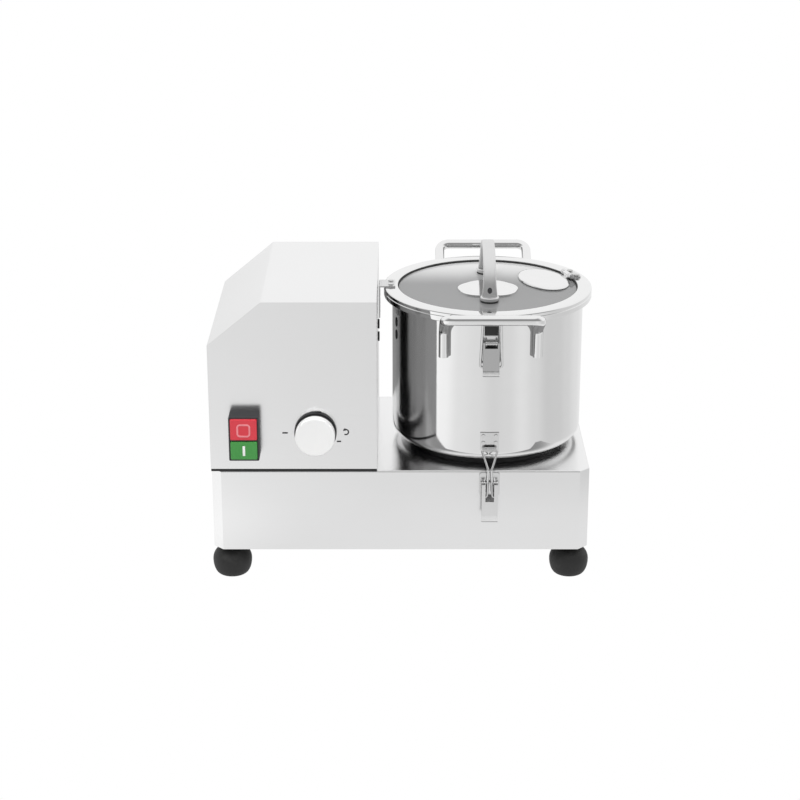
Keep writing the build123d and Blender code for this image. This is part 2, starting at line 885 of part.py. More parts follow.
def bowl_handle():
    """The front handle: a round bar on two upright legs that are welded along the bowl's wall."""
    half = handle_half_span
    wall_y = -math.sqrt((bowl_radius + rod_radius - handle_sink) ** 2 - half ** 2)
    points = []
    for side in (-1, 1):
        leg = [
            (bowl_x + side * half, wall_y, handle_foot_z), (bowl_x + side * half, wall_y, handle_knee_z),
            (bowl_x + side * half, -handle_reach, handle_bar_z),
        ]
        points += leg if side < 0 else leg[::-1]
    rod = wire(points, rod_radius, handle_bend)
    return rod - post(bowl_radius, bowl_bottom, bowl_rim_z + 20, bowl_x)


def curved_plate(radius, thickness, half_width, low, high):
    """A plate rolled to the bowl's wall, at the front."""
    ring = post(radius + thickness, low, high, bowl_x) - post(radius, low, high, bowl_x)
    front = block(bowl_x - half_width, bowl_x + half_width, -radius - thickness - 1, 0, low, high)
    return ring & front


def hook(out_from, out_to, low, half_width, wall_y):
    """A hook with an upturned tip that stands out from a wall at wall_y."""
    t = latch_sheet
    y0 = wall_y - out_from
    y1 = wall_y - out_to
    return side_profile(
        [(y0, low), (y1, low), (y1, low + nose_height), (y1 + t, low + nose_height),
         (y1 + t, low + t), (y0, low + t)],
        2 * half_width, bowl_x,
    )


def bowl_catches():
    """The riveted catch plates near the foot of the bowl, front and back."""
    reach = lower_catch_reach()
    low = lower_catch_bottom
    plate = curved_plate(bowl_radius, latch_sheet, catch_plate_half, low, lower_catch_top)
    plate += hook(latch_sheet - catch_sink, reach, low, catch_half_width - 1, -bowl_radius)
    rivet_y = -math.sqrt((bowl_radius + latch_sheet) ** 2 - rivet_half_span ** 2)
    for side in (-1, 1):
        x = bowl_x + side * rivet_half_span
        for z in (lower_catch_top - rivet_top_inset, low + rivet_bottom_inset):
            plate += plug(rivet_radius, rivet_y + rivet_sink, rivet_y - rivet_head, x, z)
    return both_ends(plate)


def lower_catch_reach():
    """How far the bowl's catch stands out from the bowl's wall."""
    return latch_sheet + nose_reach


def upper_catch_reach():
    """How far the lid's catch stands out from the lid ring."""
    return nose_reach


# Latches. Each is modelled at the front and turned to the back.

def latch_ears(wall_y, pivot_out, pivot_z):
    """Two rounded ears on a latch base and the pin through them."""
    start = wall_y - latch_sheet / 2
    pin_y = wall_y - pivot_out
    end = lever_half_width + ear_thickness / 2
    ears = bar(latch_pin_radius, bowl_x - end, bowl_x + end, pin_y, pivot_z)
    for side in (-1, 1):
        x = bowl_x + side * (ear_half_width - ear_thickness / 2)
        ears += side_profile(
            [(start, pivot_z - ear_height / 2), (pin_y, pivot_z - ear_reach),
             (pin_y, pivot_z + ear_reach), (start, pivot_z + ear_height / 2)],
            ear_thickness, x,
        )
        ears += bar(ear_reach, x - ear_thickness / 2, x + ear_thickness / 2, pin_y, pivot_z)
    return ears


def upper_latch_bases():
    plate = curved_plate(bowl_radius, latch_sheet, ear_half_width + 1, upper_base_bottom, upper_base_top)
    piece = plate + latch_ears(-bowl_radius, upper_pivot_out, upper_pivot_z)
    half = ear_half_width - ear_thickness
    piece += bar(sleeve_radius, bowl_x - half, bowl_x + half, -bowl_radius - upper_pivot_out, upper_pivot_z)
    return both_ends(piece)


def lower_latch_bases():
    y = base_front
    half = ear_half_width + lower_base_side
    plate = block(bowl_x - half, bowl_x + half, y - latch_sheet, y, lower_base_bottom, lower_base_top)
    plate = fillet(plate.edges().filter_by(Axis.Y), 2 * latch_sheet)
    return both_ends(plate + latch_ears(y, lower_pivot_out, lower_pivot_z))


def lever(wall_y, pivot, bail, web_out, web_over, bottom, lip, slot):
    """A pressed lever: a web slotted from its top, two side flanges round its pin, and a turned-out lip."""
    t = latch_sheet
    w = lever_half_width
    pivot_out, pivot_z = pivot
    bail_out, bail_z = bail
    lip_out, lip_z = lip
    slot_half, slot_below = slot
    top = pivot_z + web_over
    web_y = wall_y - web_out
    pin_y = wall_y - pivot_out
    tip_y = wall_y - lip_out
    piece = block(bowl_x - w, bowl_x + w, web_y - t, web_y, bottom, top)
    piece -= block(bowl_x - slot_half, bowl_x + slot_half, web_y - t, web_y, pivot_z - slot_below, top)
    piece += side_profile(
        [(web_y, bottom), (web_y - t, bottom), (tip_y - t * 0.2, lip_z + t), (tip_y + t, lip_z)],
        2 * w, bowl_x,
    )
    inner = pin_y + lever_boss_radius
    flange_low = bail_z - lever_boss_radius
    for side in (-1, 1):
        x = bowl_x + side * (w - t / 2)
        flange = side_profile(
            [(web_y - t / 2, top), (pin_y, top), (inner, pivot_z), (inner, flange_low), (web_y - t / 2, bottom)],
            t, x,
        )
        flange += bar(lever_boss_radius, x - t / 2, x + t / 2, pin_y, pivot_z)
        flange -= bar(latch_pin_radius + pin_clearance, x - t, x + t, pin_y, pivot_z)
        flange -= bar(wire_radius + pin_clearance, x - t, x + t, wall_y - bail_out, bail_z)
        piece += flange
    return piece


def upper_lever():
    return lever(
        -bowl_radius, (upper_pivot_out, upper_pivot_z), (upper_bail_out, upper_bail_z), upper_web_out,
        upper_web_over, upper_lever_bottom, (upper_lip_out, upper_lip_z),
        (ear_half_width + ear_thickness / 3, upper_slot_below),
    )


def lower_lever():
    return lever(
        base_front, (lower_pivot_out, lower_pivot_z), (lower_bail_out, lower_bail_z), lower_web_out,
        lower_web_over, lower_lever_bottom, (lower_lip_out, lower_lip_z), (lower_slot_half, lower_slot_below),
    )


def upper_bail():
    """The lid latch's wire bail, with its bar just in front of the lid's catch."""
    y_low = -bowl_radius - upper_bail_out
    y_bar = -ring_radius - upper_catch_reach() - bar_gap - wire_radius
    stub = lever_half_width - latch_sheet + bail_foot_lap
    points = [
        (bowl_x - stub, y_low, upper_bail_z), (bowl_x - upper_bail_half, y_low, upper_bail_z),
        (bowl_x - upper_bar_half, y_bar, upper_bar_z), (bowl_x + upper_bar_half, y_bar, upper_bar_z),
        (bowl_x + upper_bail_half, y_low, upper_bail_z), (bowl_x + stub, y_low, upper_bail_z),
    ]
    return wire(points, wire_radius, wire_bend)


def lower_bail():
    """The bowl latch's wire bail: feet turned out into the lever, a waist above it, and a bar at the catch."""
    y_low = base_front - lower_bail_out
    y_waist = base_front - lower_waist_out
    y_bar = -bowl_radius - lower_catch_reach() - bar_gap - wire_radius
    half = [
        (lever_half_width - pin_clearance, y_low, lower_bail_z), (lower_bail_half, y_low, lower_bail_z),
        (lower_waist_half, y_waist, lower_waist_z), (lower_bar_half, y_bar, lower_bar_z),
    ]
    points = [(bowl_x - x, y, z) for x, y, z in half] + [(bowl_x + x, y, z) for x, y, z in half[::-1]]
    return wire(points, wire_radius, lower_wire_bend)


# Knives

def blade_hub():
    """The knife carrier: a sleeve over the bowl's tube with a driving bore for the spindle."""
    inner = hub_radius - hub_wall
    bore = spindle_radius + running_gap
    body = turned(
        [
            (inner, hub_bottom), (hub_collar_radius, hub_bottom),
            (hub_collar_radius, hub_bottom + hub_collar_height), (hub_radius, hub_bottom + hub_collar_height),
            (hub_radius, hub_shoulder), (hub_neck_radius, hub_top), (hub_neck_radius, hub_end),
            (bore, hub_end), (bore, hub_shoulder), (inner, hub_shoulder),
        ],
        bowl_x,
    )
    for side in (-1, 1):
        key = spindle_flat(side, running_gap)
        bounds = post(bore + 0.5, hub_shoulder, hub_end, bowl_x)
        body += key & bounds
    return body


def knife(z, turn):
    """A two-armed curved knife round the hub, bevelled along its convex cutting edges."""
    tip = blade_tip_radius
    start = (blade_root_x, -blade_ring_radius * 0.8)
    end = (math.sqrt(tip ** 2 - blade_tip_sweep ** 2), blade_tip_sweep)
    heel = (blade_root_x, blade_ring_radius * 0.7)
    cutting = ThreePointArc(start, (tip * 0.79, -tip * 0.27), end)
    back = ThreePointArc(end, (tip * 0.62, tip * 0.02), heel)
    arm = extrude(make_face(cutting + back + Line(heel, start)), amount=blade_thickness)
    arm -= bevel_cutter(cutting)
    blade = extrude(Circle(blade_ring_radius), amount=blade_thickness) + arm + Rot(0, 0, 180) * arm
    blade -= Cylinder(hub_radius + running_gap, 3 * blade_thickness)
    return Pos(bowl_x, 0, z) * Rot(0, 0, turn) * blade


def bevel_cutter(edge):
    """The wedge of metal ground away along a knife's cutting edge."""
    along = edge % 0
    outward = Vector(along.Y, -along.X, 0)
    slope = (blade_thickness - blade_edge_land) / blade_bevel
    low = blade_edge_land - slope
    over = blade_thickness + 1
    section = Polyline(
        (-blade_bevel, -blade_thickness), (1, -low), (3, -low), (3, -over), (-blade_bevel, -over), close=True)
    return sweep(Plane(origin=edge @ 0, x_dir=outward, z_dir=along) * make_face(section), path=edge)


def blade_spacer():
    low = blade_low_z + blade_thickness
    inner = hub_radius + running_gap
    return turned([(inner, low), (hub_collar_radius - 3, low), (hub_collar_radius - 3, low + spacer_height),
                   (inner, low + spacer_height)], bowl_x)


def blade_clamp_nut():
    """The ring nut over the upper knife, with four spanner notches."""
    inner = hub_radius + running_gap
    nut = turned([(inner, clamp_z), (hub_collar_radius, clamp_z), (hub_collar_radius, clamp_z + clamp_height - 1.5),
                  (hub_collar_radius - 1.5, clamp_z + clamp_height), (inner, clamp_z + clamp_height)], bowl_x)
    for i in range(4):
        notch = Pos(bowl_x, 0, clamp_z + clamp_height / 2) * Rot(0, 0, 45 + 90 * i) * Pos(hub_collar_radius, 0, 0)
        nut -= notch * Box(5, 6, clamp_height)
    return nut


def blade_knob():
    """The hand nut on top of the spindle, fluted for grip."""
    low = hub_end
    knob = turned(
        [(0, knob_bottom + 12), (spindle_radius + 0.4, knob_bottom + 12), (spindle_radius + 0.4, low),
         (hub_neck_radius - 2, low), (knob_radius, knob_bottom), (knob_radius, low + knob_height - 4),
         (knob_radius - 5, low + knob_height), (0, low + knob_height)],
        bowl_x,
    )
    for i in range(8):
        flute = Pos(bowl_x, 0, 0) * Rot(0, 0, i * 45) * post(3, knob_bottom - 2, low + knob_height, knob_radius + 1.5)
        knob -= flute
    return knob


# Lid

def lid_ring():
    """The lid's rolled ring: a flat top band and a skirt that hangs over the bowl's rim."""
    t = ring_sheet
    e = ring_edge_round
    ring = turned(
        [
            (ring_inner_radius, window_top), (ring_inner_radius, ring_top - e / 2),
            (ring_inner_radius + e / 2, ring_top), (ring_radius - e, ring_top), (ring_radius, ring_top - e),
            (ring_radius, ring_bottom), (ring_radius - t, ring_bottom), (ring_radius - t, window_top),
        ],
        bowl_x,
    )
    for x, y, low, tip in lid_screw_places()[2:]:
        ring -= post(plate_screw_radius + running_gap, window_top, ring_top, x, y)
    return ring


def feed_oval(grow):
    """The oval outline of the feed hole, grown by a margin, in place on the lid."""
    return Rot(0, 0, feed_angle) * Pos(feed_centre, 0) * Ellipse(feed_half_radial + grow, feed_half_along + grow)


def lid_window():
    radius = ring_radius - ring_sheet - window_gap
    disc = post(radius, window_bottom, window_top, bowl_x)
    hole = Pos(bowl_x, 0, window_bottom) * extrude(feed_oval(-feed_rim), amount=window_thickness)
    disc -= hole
    for x, y, low, tip in lid_screw_places():
        disc -= post(plate_screw_radius + running_gap, window_bottom, window_top, x, y)
    return disc


def lid_gasket():
    return turned(
        [(gasket_inner_radius, bowl_rim_z), (gasket_outer_radius, bowl_rim_z),
         (gasket_outer_radius, window_bottom), (gasket_inner_radius, window_bottom)],
        bowl_x,
    )


def lid_wing_plate():
    """The rounded wing-shaped plate under the handle in the middle of the window."""
    w = wing_half_width
    d = wing_half_depth
    outline = (
        ThreePointArc((-w, -d * 0.35), (-w - 1.5, d * 0.1), (-w * 0.75, d * 0.6))
        + ThreePointArc((-w * 0.75, d * 0.6), (0, d), (w * 0.75, d * 0.6))
        + ThreePointArc((w * 0.75, d * 0.6), (w + 1.5, d * 0.1), (w, -d * 0.35))
        + ThreePointArc((w, -d * 0.35), (w * 0.6, -d * 0.95), (w * 0.15, -d))
        + Line((w * 0.15, -d), (-w * 0.15, -d))
        + ThreePointArc((-w * 0.15, -d), (-w * 0.6, -d * 0.95), (-w, -d * 0.35))
    )
    return Pos(bowl_x, -wing_forward, window_top) * extrude(make_face(outline), amount=wing_thickness)


def lid_handle():
    """A strap bent to a half ellipse from front to back, with round feet tapped for their screws."""
    foot_low = window_top + lid_pad_height
    foot_high = foot_low + lid_handle_foot_height
    span = lid_handle_half_span
    rise = lid_handle_height - lid_pad_height - lid_handle_thickness / 2
    upright = Plane((bowl_x, 0, foot_low), x_dir=(0, 1, 0), z_dir=(1, 0, 0))
    path = upright * EllipticalCenterArc((0, 0), span, rise, 0, arc_size=180)
    section = RectangleRounded(lid_handle_width, lid_handle_thickness, lid_handle_thickness * 0.3)
    handle = sweep(Plane(origin=path @ 0, x_dir=(1, 0, 0), z_dir=path % 0) * section, path=path)
    for side in (-1, 1):
        base = post(lid_handle_foot_radius, foot_low, foot_high, bowl_x, side * span)
        handle += chamfer(base.edges().group_by(Axis.Z)[-1], 1.5)
        handle -= post(plate_screw_radius + running_gap, foot_low, foot_high + 1, bowl_x, side * span)
    return handle


def lid_handle_pads():
    """The two dark washers between the handle's feet and the window."""
    high = window_top + lid_pad_height
    washer = post(lid_handle_foot_radius - 0.5, window_top, high, bowl_x)
    washer -= post(plate_screw_radius + running_gap, window_top, high, bowl_x)
    return [Pos(0, side * lid_handle_half_span, 0) * washer for side in (-1, 1)]


def lid_screw_places():
    """Screws of the lid: centre, the height under the head, and the tip."""
    places = []
    for side in (-1, 1):
        y = side * lid_handle_half_span
        places.append((bowl_x, y, window_bottom, window_top + lid_pad_height + lid_handle_foot_height))
    c = math.cos(math.radians(feed_angle))
    s = math.sin(math.radians(feed_angle))
    radius = ring_inner_radius + hinge_leaf_depth / 2
    for side in (-1, 1):
        along = side * cap_knuckle * 0.8
        x = bowl_x + radius * c - along * s
        y = radius * s + along * c
        places.append((x, y, ring_top + hinge_leaf_height, window_bottom))
    return places


def lid_screws():
    return [
        bolt(x, y, low, tip, plate_screw_radius, plate_screw_radius * 1.8, plate_screw_radius)
        for x, y, low, tip in lid_screw_places()
    ]


def cap_axis_radius():
    """Distance of the cap's hinge line from the bowl's axis."""
    return ring_inner_radius - cap_axis_inset


def cap_axis_height():
    """Height of the cap's hinge line."""
    return ring_top + cap_axis_rise


def in_feed_place(piece):
    """A piece modelled with its radial direction along X, turned to the feed hole's side of the lid."""
    return Pos(bowl_x, 0, 0) * Rot(0, 0, feed_angle) * piece


def feed_cap():
    """The oval feed-hole cap with a rolled edge, a turned-up knuckle and a small lifting tab."""
    low = window_top + cap_lift
    oval = Pos(feed_centre, 0, low) * extrude(Ellipse(feed_half_radial, feed_half_along), amount=cap_thickness)
    cap = fillet(oval.edges().group_by(Axis.Z)[-1], cap_thickness - 0.6)
    spigot = Ellipse(feed_half_radial - feed_rim - 1, feed_half_along - feed_rim - 1)
    cap += Pos(feed_centre, 0, low - cap_spigot) * extrude(spigot, amount=cap_spigot + cap_thickness / 2)
    ax = cap_axis_radius()
    az = cap_axis_height()
    arm = block(feed_centre + feed_half_radial - 6, ax, -cap_knuckle / 2, cap_knuckle / 2, low, low + cap_thickness)
    cap += arm
    knuckle = Pos(ax, 0, az) * Rot(90, 0, 0) * Cylinder(cap_hinge_radius, cap_knuckle)
    cap += knuckle
    cap -= Pos(ax, 0, az) * Rot(90, 0, 0) * Cylinder(cap_pin_radius + pin_clearance, cap_knuckle + 2)
    return in_feed_place(cap)


def cap_hinge():
    """The fixed hinge: a leaf on the lid ring with two knuckles and the pin between them."""
    ax = cap_axis_radius()
    az = cap_axis_height()
    inner = cap_knuckle / 2 + hinge_side_gap
    outer = inner + hinge_leaf_side
    high = ring_top + hinge_leaf_height
    ring_edge = ring_inner_radius + ring_edge_round / 2
    leaf = block(ring_edge, ring_edge + hinge_leaf_depth, -outer, outer, ring_top, high)
    leaf = fillet(leaf.edges().filter_by(Axis.Z).group_by(Axis.X)[-1], 2)
    length = outer - inner
    for side in (-1, 1):
        middle = side * (inner + outer) / 2
        leaf += Pos(ax, middle, az) * Rot(90, 0, 0) * Cylinder(cap_hinge_radius, length)
        leaf += block(
            ax, ring_edge + hinge_side_gap, middle - length / 2, middle + length / 2,
            high - hinge_web_under, high + hinge_web_over,
        )
    leaf += Pos(ax, 0, az) * Rot(90, 0, 0) * Cylinder(cap_pin_radius, 2 * outer)
    placed = in_feed_place(leaf)
    for x, y, low, tip in lid_screw_places()[2:]:
        placed -= post(plate_screw_radius + running_gap, ring_top, high + 2, x, y)
    return placed


def interlock_bracket():
    """The strip from the lid ring to the hood: flat on the ring, then down beside the hood's wall."""
    t = bracket_sheet
    w = bracket_half_width
    leg_x = hood_right + bracket_gap
    over = ring_top
    ring_side = bowl_x - ring_radius
    strip = block(leg_x, ring_side + bracket_reach, -w, w, over, over + t)
    strip += block(leg_x, leg_x + t, -w, w, bracket_bottom_z, over + t)
    corner = strip.edges().filter_by(Axis.Y).sort_by_distance((leg_x, 0, over + t))
    strip = fillet(corner[0], t)
    rivet_x = ring_side + bracket_rivet_inset
    for side in (-1, 1):
        strip += post(bracket_rivet_radius, over + t, over + t + bracket_rivet_height, rivet_x, side * w * 0.55)
    return strip


def lid_catches():
    """The hooks on the lid ring, front and back."""
    t = latch_sheet
    wall = -ring_radius
    low = ring_bottom + 0.8
    hook_piece = side_profile(
        [(wall, low), (wall, ring_top - 1.2), (wall - t * 0.8, ring_top - 1.2), (wall - t * 0.8, low + t),
         (wall - nose_reach + t, low + t), (wall - nose_reach + t, low + nose_height),
         (wall - nose_reach, low + nose_height), (wall - nose_reach, low)],
        2 * catch_half_width, bowl_x)
    return both_ends(hook_piece)


# Controls

def switch_housing():
    """The start and stop switch box: proud of the hood's front, with a well for each button."""
    x0 = switch_x - switch_width / 2
    x1 = switch_x + switch_width / 2
    front = base_front - switch_reach
    box = block(x0, x1, front, base_front, switch_bottom_z, switch_top_z)
    box = fillet(box.edges().filter_by(Axis.Y), switch_border)
    b = switch_border
    neck = b + panel_gap / 2
    box += block(
        x0 + neck, x1 - neck, base_front, base_front + switch_depth_inside,
        switch_bottom_z + neck, switch_top_z - neck,
    )
    well_back = front - button_proud + button_height + button_travel
    for low, high in button_spans():
        box -= block(x0 + b, x1 - b, front, well_back, low, high)
    return box


def button_spans():
    """Lowest and highest point of the green and the red button's well."""
    b = switch_border
    half = switch_rib / 2
    return [(switch_bottom_z + b, button_split_z - half), (button_split_z + half, switch_top_z - b)]


def push_button(span):
    """A square button with rounded edges and a domed face."""
    half = switch_width / 2 - switch_border - button_gap
    front = base_front - switch_reach - button_proud
    back = front + button_height - button_gap
    key = block(switch_x - half, switch_x + half, front, back, span[0] + button_gap, span[1] - button_gap)
    key = fillet(key.edges().filter_by(Axis.Y), 1.5)
    return fillet(key.edges().group_by(Axis.Y)[0], 1.0)


def timer_body():
    """The timer's case behind the hood's front, with its threaded neck and nut."""
    half = timer_body_width / 2
    x = timer_x
    y0 = base_front + hood_sheet
    y1 = y0 + timer_neck_height
    case = block(x - half, x + half, y1, y0 + timer_body_depth, timer_z - half, timer_z + half)
    case = fillet(case.edges().filter_by(Axis.Y), timer_neck_radius)
    case += plug(timer_neck_radius, y0, y1, x, timer_z)
    bore_end = y0 + timer_stem_inside + timer_neck_height
    return case - plug(timer_stem_radius + running_gap, y0, bore_end, x, timer_z)


def knob_skirt():
    """The dark skirt of the timer knob with its stem."""
    y = base_front - panel_gap
    skirt = plug(knob_skirt_radius, y, y - knob_skirt_height, timer_x, timer_z)
    stem_end = base_front + hood_sheet + timer_stem_inside
    return skirt + plug(timer_stem_radius, y, stem_end, timer_x, timer_z)


def knob_cap():
    """The knob's white cap: a drafted drum with a rounded front."""
    y0 = base_front - panel_gap - knob_skirt_height
    y1 = base_front - knob_reach
    front_radius = knob_cap_radius - knob_draft
    outline = Polyline((0, 0, 0), (knob_cap_radius, 0, 0), (front_radius, 0, y0 - y1), (0, 0, y0 - y1), close=True)
    drum = revolve(make_face(outline), Axis.Z, 360)
    drum = fillet(drum.edges().group_by(Axis.Z)[-1], knob_round)
    return Pos(timer_x, y0, timer_z) * Rot(90, 0, 0) * drum


def interlock_switch():
    """The interlock's sensor case inside the hood's right wall, with its two round caps outside."""
    x1 = hood_right - hood_sheet
    half = interlock_case_half
    case = block(
        x1 - interlock_case_depth, x1, -half, half,
        min(interlock_z) - interlock_case_border, bracket_bottom_z + interlock_case_over,
    )
    for z in interlock_z:
        case += bar(bolt_radius, x1, hood_right, 0, z)
        case += bar(interlock_cap_radius, hood_right, hood_right + interlock_cap_height, 0, z)
    return case


def joined(pieces):
    """A list of separate solids as one compound, and one solid as it is."""
    return Compound(children=list(pieces)) if isinstance(pieces, list) else pieces


def all_parts():
    """Every node's name and shape."""
    red = button_spans()[1]
    green = button_spans()[0]
    parts = {
        "base_housing": base_housing(),
        "base_plate": base_plate(),
        "base_plate_screws": base_plate_screws(),
        "foot_screws": foot_screws(),
        "motor_hood": motor_hood(),
        "hood_seal": hood_seal(),
        "frame_bolts": frame_bolts(),
        "cable_gland": cable_gland(),
        "motor_housing": motor_housing(),
        "motor_shaft": motor_shaft(),
        "motor_pulley": pulley(motor_pulley_radius, shaft_radius + running_gap, motor_x),
        "drive_belt": drive_belt(),
        "run_capacitor": run_capacitor(),
        "bearing_housing": bearing_housing(),
        "spindle_bearings": spindle_bearings(),
        "spindle": spindle(),
        "spindle_pulley": pulley(spindle_pulley_radius, spindle_radius + running_gap, bowl_x),
        "bowl_seat": bowl_seat(),
        "bowl": bowl(),
        "bowl_handle_front": bowl_handle(),
        "bowl_handle_rear": at_rear(bowl_handle()),
        "bowl_catches": bowl_catches(),
        "blade_hub": blade_hub(),
        "lower_blade": knife(blade_low_z, lower_blade_turn),
        "blade_spacer": blade_spacer(),
        "upper_blade": knife(blade_high_z, upper_blade_turn),
        "blade_clamp_nut": blade_clamp_nut(),
        "blade_knob": blade_knob(),
        "lid_ring": lid_ring(),
        "lid_window": lid_window(),
        "lid_gasket": lid_gasket(),
        "lid_wing_plate": lid_wing_plate(),
        "lid_handle": lid_handle(),
        "lid_handle_pads": lid_handle_pads(),
        "lid_screws": lid_screws(),
        "lid_catches": lid_catches(),
        "feed_cap": feed_cap(),
        "cap_hinge": cap_hinge(),
        "interlock_bracket": interlock_bracket(),
        "interlock_switch": interlock_switch(),
        "upper_latch_bases": upper_latch_bases(),
        "lower_latch_bases": lower_latch_bases(),
        "switch_housing": switch_housing(),
        "stop_button": push_button(red),
        "start_button": push_button(green),
        "timer_body": timer_body(),
        "knob_skirt": knob_skirt(),
        "knob_cap": knob_cap(),
    }
    corner_names = ("foot_front_left", "foot_rear_left", "foot_front_right", "foot_rear_right")
    for name, (x, y) in zip(corner_names, foot_places):
        parts[name] = foot(x, y)
    for name, shape in (
        ("upper_lever", upper_lever()), ("upper_bail", upper_bail()),
        ("lower_lever", lower_lever()), ("lower_bail", lower_bail()),
    ):
        parts[name + "_front"] = shape
        parts[name + "_rear"] = at_rear(shape)
    return parts


os.makedirs("parts", exist_ok=True)
for node, shape in all_parts().items():
    export_step(joined(shape), f"parts/{node}.step")
    print(node)
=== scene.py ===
import json
import math
import bmesh
import bpy
import numpy as np
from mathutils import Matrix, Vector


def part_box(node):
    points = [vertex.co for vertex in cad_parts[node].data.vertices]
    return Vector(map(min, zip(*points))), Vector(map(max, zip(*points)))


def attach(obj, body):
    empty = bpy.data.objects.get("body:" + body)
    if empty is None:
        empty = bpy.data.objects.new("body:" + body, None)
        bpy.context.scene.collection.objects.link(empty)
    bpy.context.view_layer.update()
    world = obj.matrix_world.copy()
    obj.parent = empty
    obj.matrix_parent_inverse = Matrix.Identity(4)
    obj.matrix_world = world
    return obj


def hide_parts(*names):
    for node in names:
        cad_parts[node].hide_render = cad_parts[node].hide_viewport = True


# Bench food chopper on a white sweep. Shapes are in millimetres and become metres when a mesh is
# written; shaders read metres. +X is right, -Y is the front, +Z is up, and every piece lies where the
# frame has it.

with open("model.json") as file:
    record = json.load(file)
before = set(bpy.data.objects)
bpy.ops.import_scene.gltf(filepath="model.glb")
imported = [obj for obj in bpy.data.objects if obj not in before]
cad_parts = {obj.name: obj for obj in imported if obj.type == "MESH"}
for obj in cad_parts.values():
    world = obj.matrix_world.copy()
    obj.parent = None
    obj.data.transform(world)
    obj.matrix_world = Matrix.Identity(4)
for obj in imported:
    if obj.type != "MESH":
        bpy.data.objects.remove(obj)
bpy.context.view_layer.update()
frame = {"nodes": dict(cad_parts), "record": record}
nodes = frame["nodes"]
mm = 0.001
print("frame loaded:", len(nodes), "nodes")


def nodeBox(name):
    # lowest and highest corner of a node in millimetres
    low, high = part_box(name)
    return np.array(low) / mm, np.array(high) / mm


def middle(name):
    low, high = nodeBox(name)
    return (low + high) / 2


# Shader maths: a Term is one socket, and sums on Terms add their Math nodes

class Term:
    def __init__(self, tree, socket=None):
        self.tree = tree
        self.socket = socket

    def node(self, kind, settings, inputs, out=0):
        # any other node: its settings first, then the values or links of its sockets
        made = self.tree.nodes.new(kind)
        for name, value in settings.items():
            setattr(made, name, value)
        for key, value in inputs.items():
            if isinstance(value, Term):
                self.tree.links.new(value.socket, made.inputs[key])
            else:
                made.inputs[key].default_value = value
        return Term(self.tree, made.outputs[out])

    def maths(self, operation, first, second=0.0):
        return self.node("ShaderNodeMath", {"operation": operation}, {0: first, 1: second})

    def __add__(self, other):
        return self.maths("ADD", self, other)

    def __sub__(self, other):
        return self.maths("SUBTRACT", self, other)

    def __rsub__(self, other):
        return self.maths("SUBTRACT", other, self)

    def __mul__(self, other):
        return self.maths("MULTIPLY", self, other)

    __radd__ = __add__
    __rmul__ = __mul__

    def smooth(self, low, high):
        # 0 below low, 1 above high, with soft ends
        return self.node(
            "ShaderNodeMapRange", {"interpolation_type": "SMOOTHSTEP"},
            {"Value": self, "From Min": low, "From Max": high})

    def blendColours(self, dark, light):
        # this Term is the share of the light colour
        return self.node(
            "ShaderNodeMix", {"data_type": "RGBA"}, {0: self, 6: (*dark, 1.0), 7: (*light, 1.0)}, out=2)

    def coordinate(self, axis):
        # one coordinate of this vector
        return self.node("ShaderNodeSeparateXYZ", {}, {"Vector": self}, out=axis)

    def place(self):
        return self.node("ShaderNodeTexCoord", {}, {}, out="Object")

    def noise(self, place, scale, detail, coarseness, stretch=(1.0, 1.0, 1.0)):
        where = self.node("ShaderNodeMapping", {}, {"Vector": place, "Scale": stretch})
        values = {"Vector": where, "Scale": scale, "Detail": detail, "Roughness": coarseness}
        return self.node("ShaderNodeTexNoise", {}, values)

    def bump(self, height, depth):
        # depth in millimetres of full height
        return self.node("ShaderNodeBump", {}, {"Height": height, "Distance": depth * mm}, out="Normal")


def makeFinish(name, fixed, varied):
    # fixed values go straight on the shader's sockets; varied returns what changes over the surface
    material = bpy.data.materials.new(name)
    material.use_nodes = True
    tree = material.node_tree
    shader = tree.nodes["Principled BSDF"]
    for socket, value in fixed.items():
        shader.inputs[socket].default_value = value
    for socket, term in varied(Term(tree)).items():
        tree.links.new(term.socket, shader.inputs[socket])
    return material


# Finishes

sheetSteel = {
    "colour": 0.885, "colourSpread": 0.015, "blueLift": 1.003, "roughness": 0.21, "grainGloss": 0.05,
    "cloudGloss": 0.04, "grainScale": 1500.0, "grainLength": 0.02, "grainDetail": 4.0, "grainCoarseness": 0.6,
    "grainDepth": 0.002, "cloudScale": 5.0, "cloudDetail": 3.0, "cloudCoarseness": 0.55,
    "turn": (0.6, 0.8), "contrast": (0.3, 0.7),
}


def sheetSteelLook(t):
    # fine straight grain: noise stretched along X, and along Y on the walls that face sideways
    place = t.place()
    s = sheetSteel
    grainNoise = (s["grainScale"], s["grainDetail"], s["grainCoarseness"])
    alongX = t.noise(place, *grainNoise, (s["grainLength"], 1.0, 1.0))
    alongY = t.noise(place, *grainNoise, (1.0, s["grainLength"], 1.0))
    facing = t.node("ShaderNodeTexCoord", {}, {}, out="Normal").coordinate("X")
    sideways = t.maths("ABSOLUTE", facing).smooth(*s["turn"])
    grain = alongX + (alongY - alongX) * sideways
    cloud = t.noise(place, s["cloudScale"], s["cloudDetail"], s["cloudCoarseness"])
    low = s["colour"] * (1 - s["colourSpread"])
    high = s["colour"] * (1 + s["colourSpread"])
    tone = (grain * 0.5 + cloud * 0.5).smooth(*s["contrast"])
    return {
        "Base Color": tone.blendColours((low, low, low), (high, high, high * s["blueLift"])),
        "Roughness": s["roughness"] + (grain - 0.5) * s["grainGloss"] + (cloud - 0.5) * s["cloudGloss"],
        "Normal": t.bump(grain, s["grainDepth"]),
    }


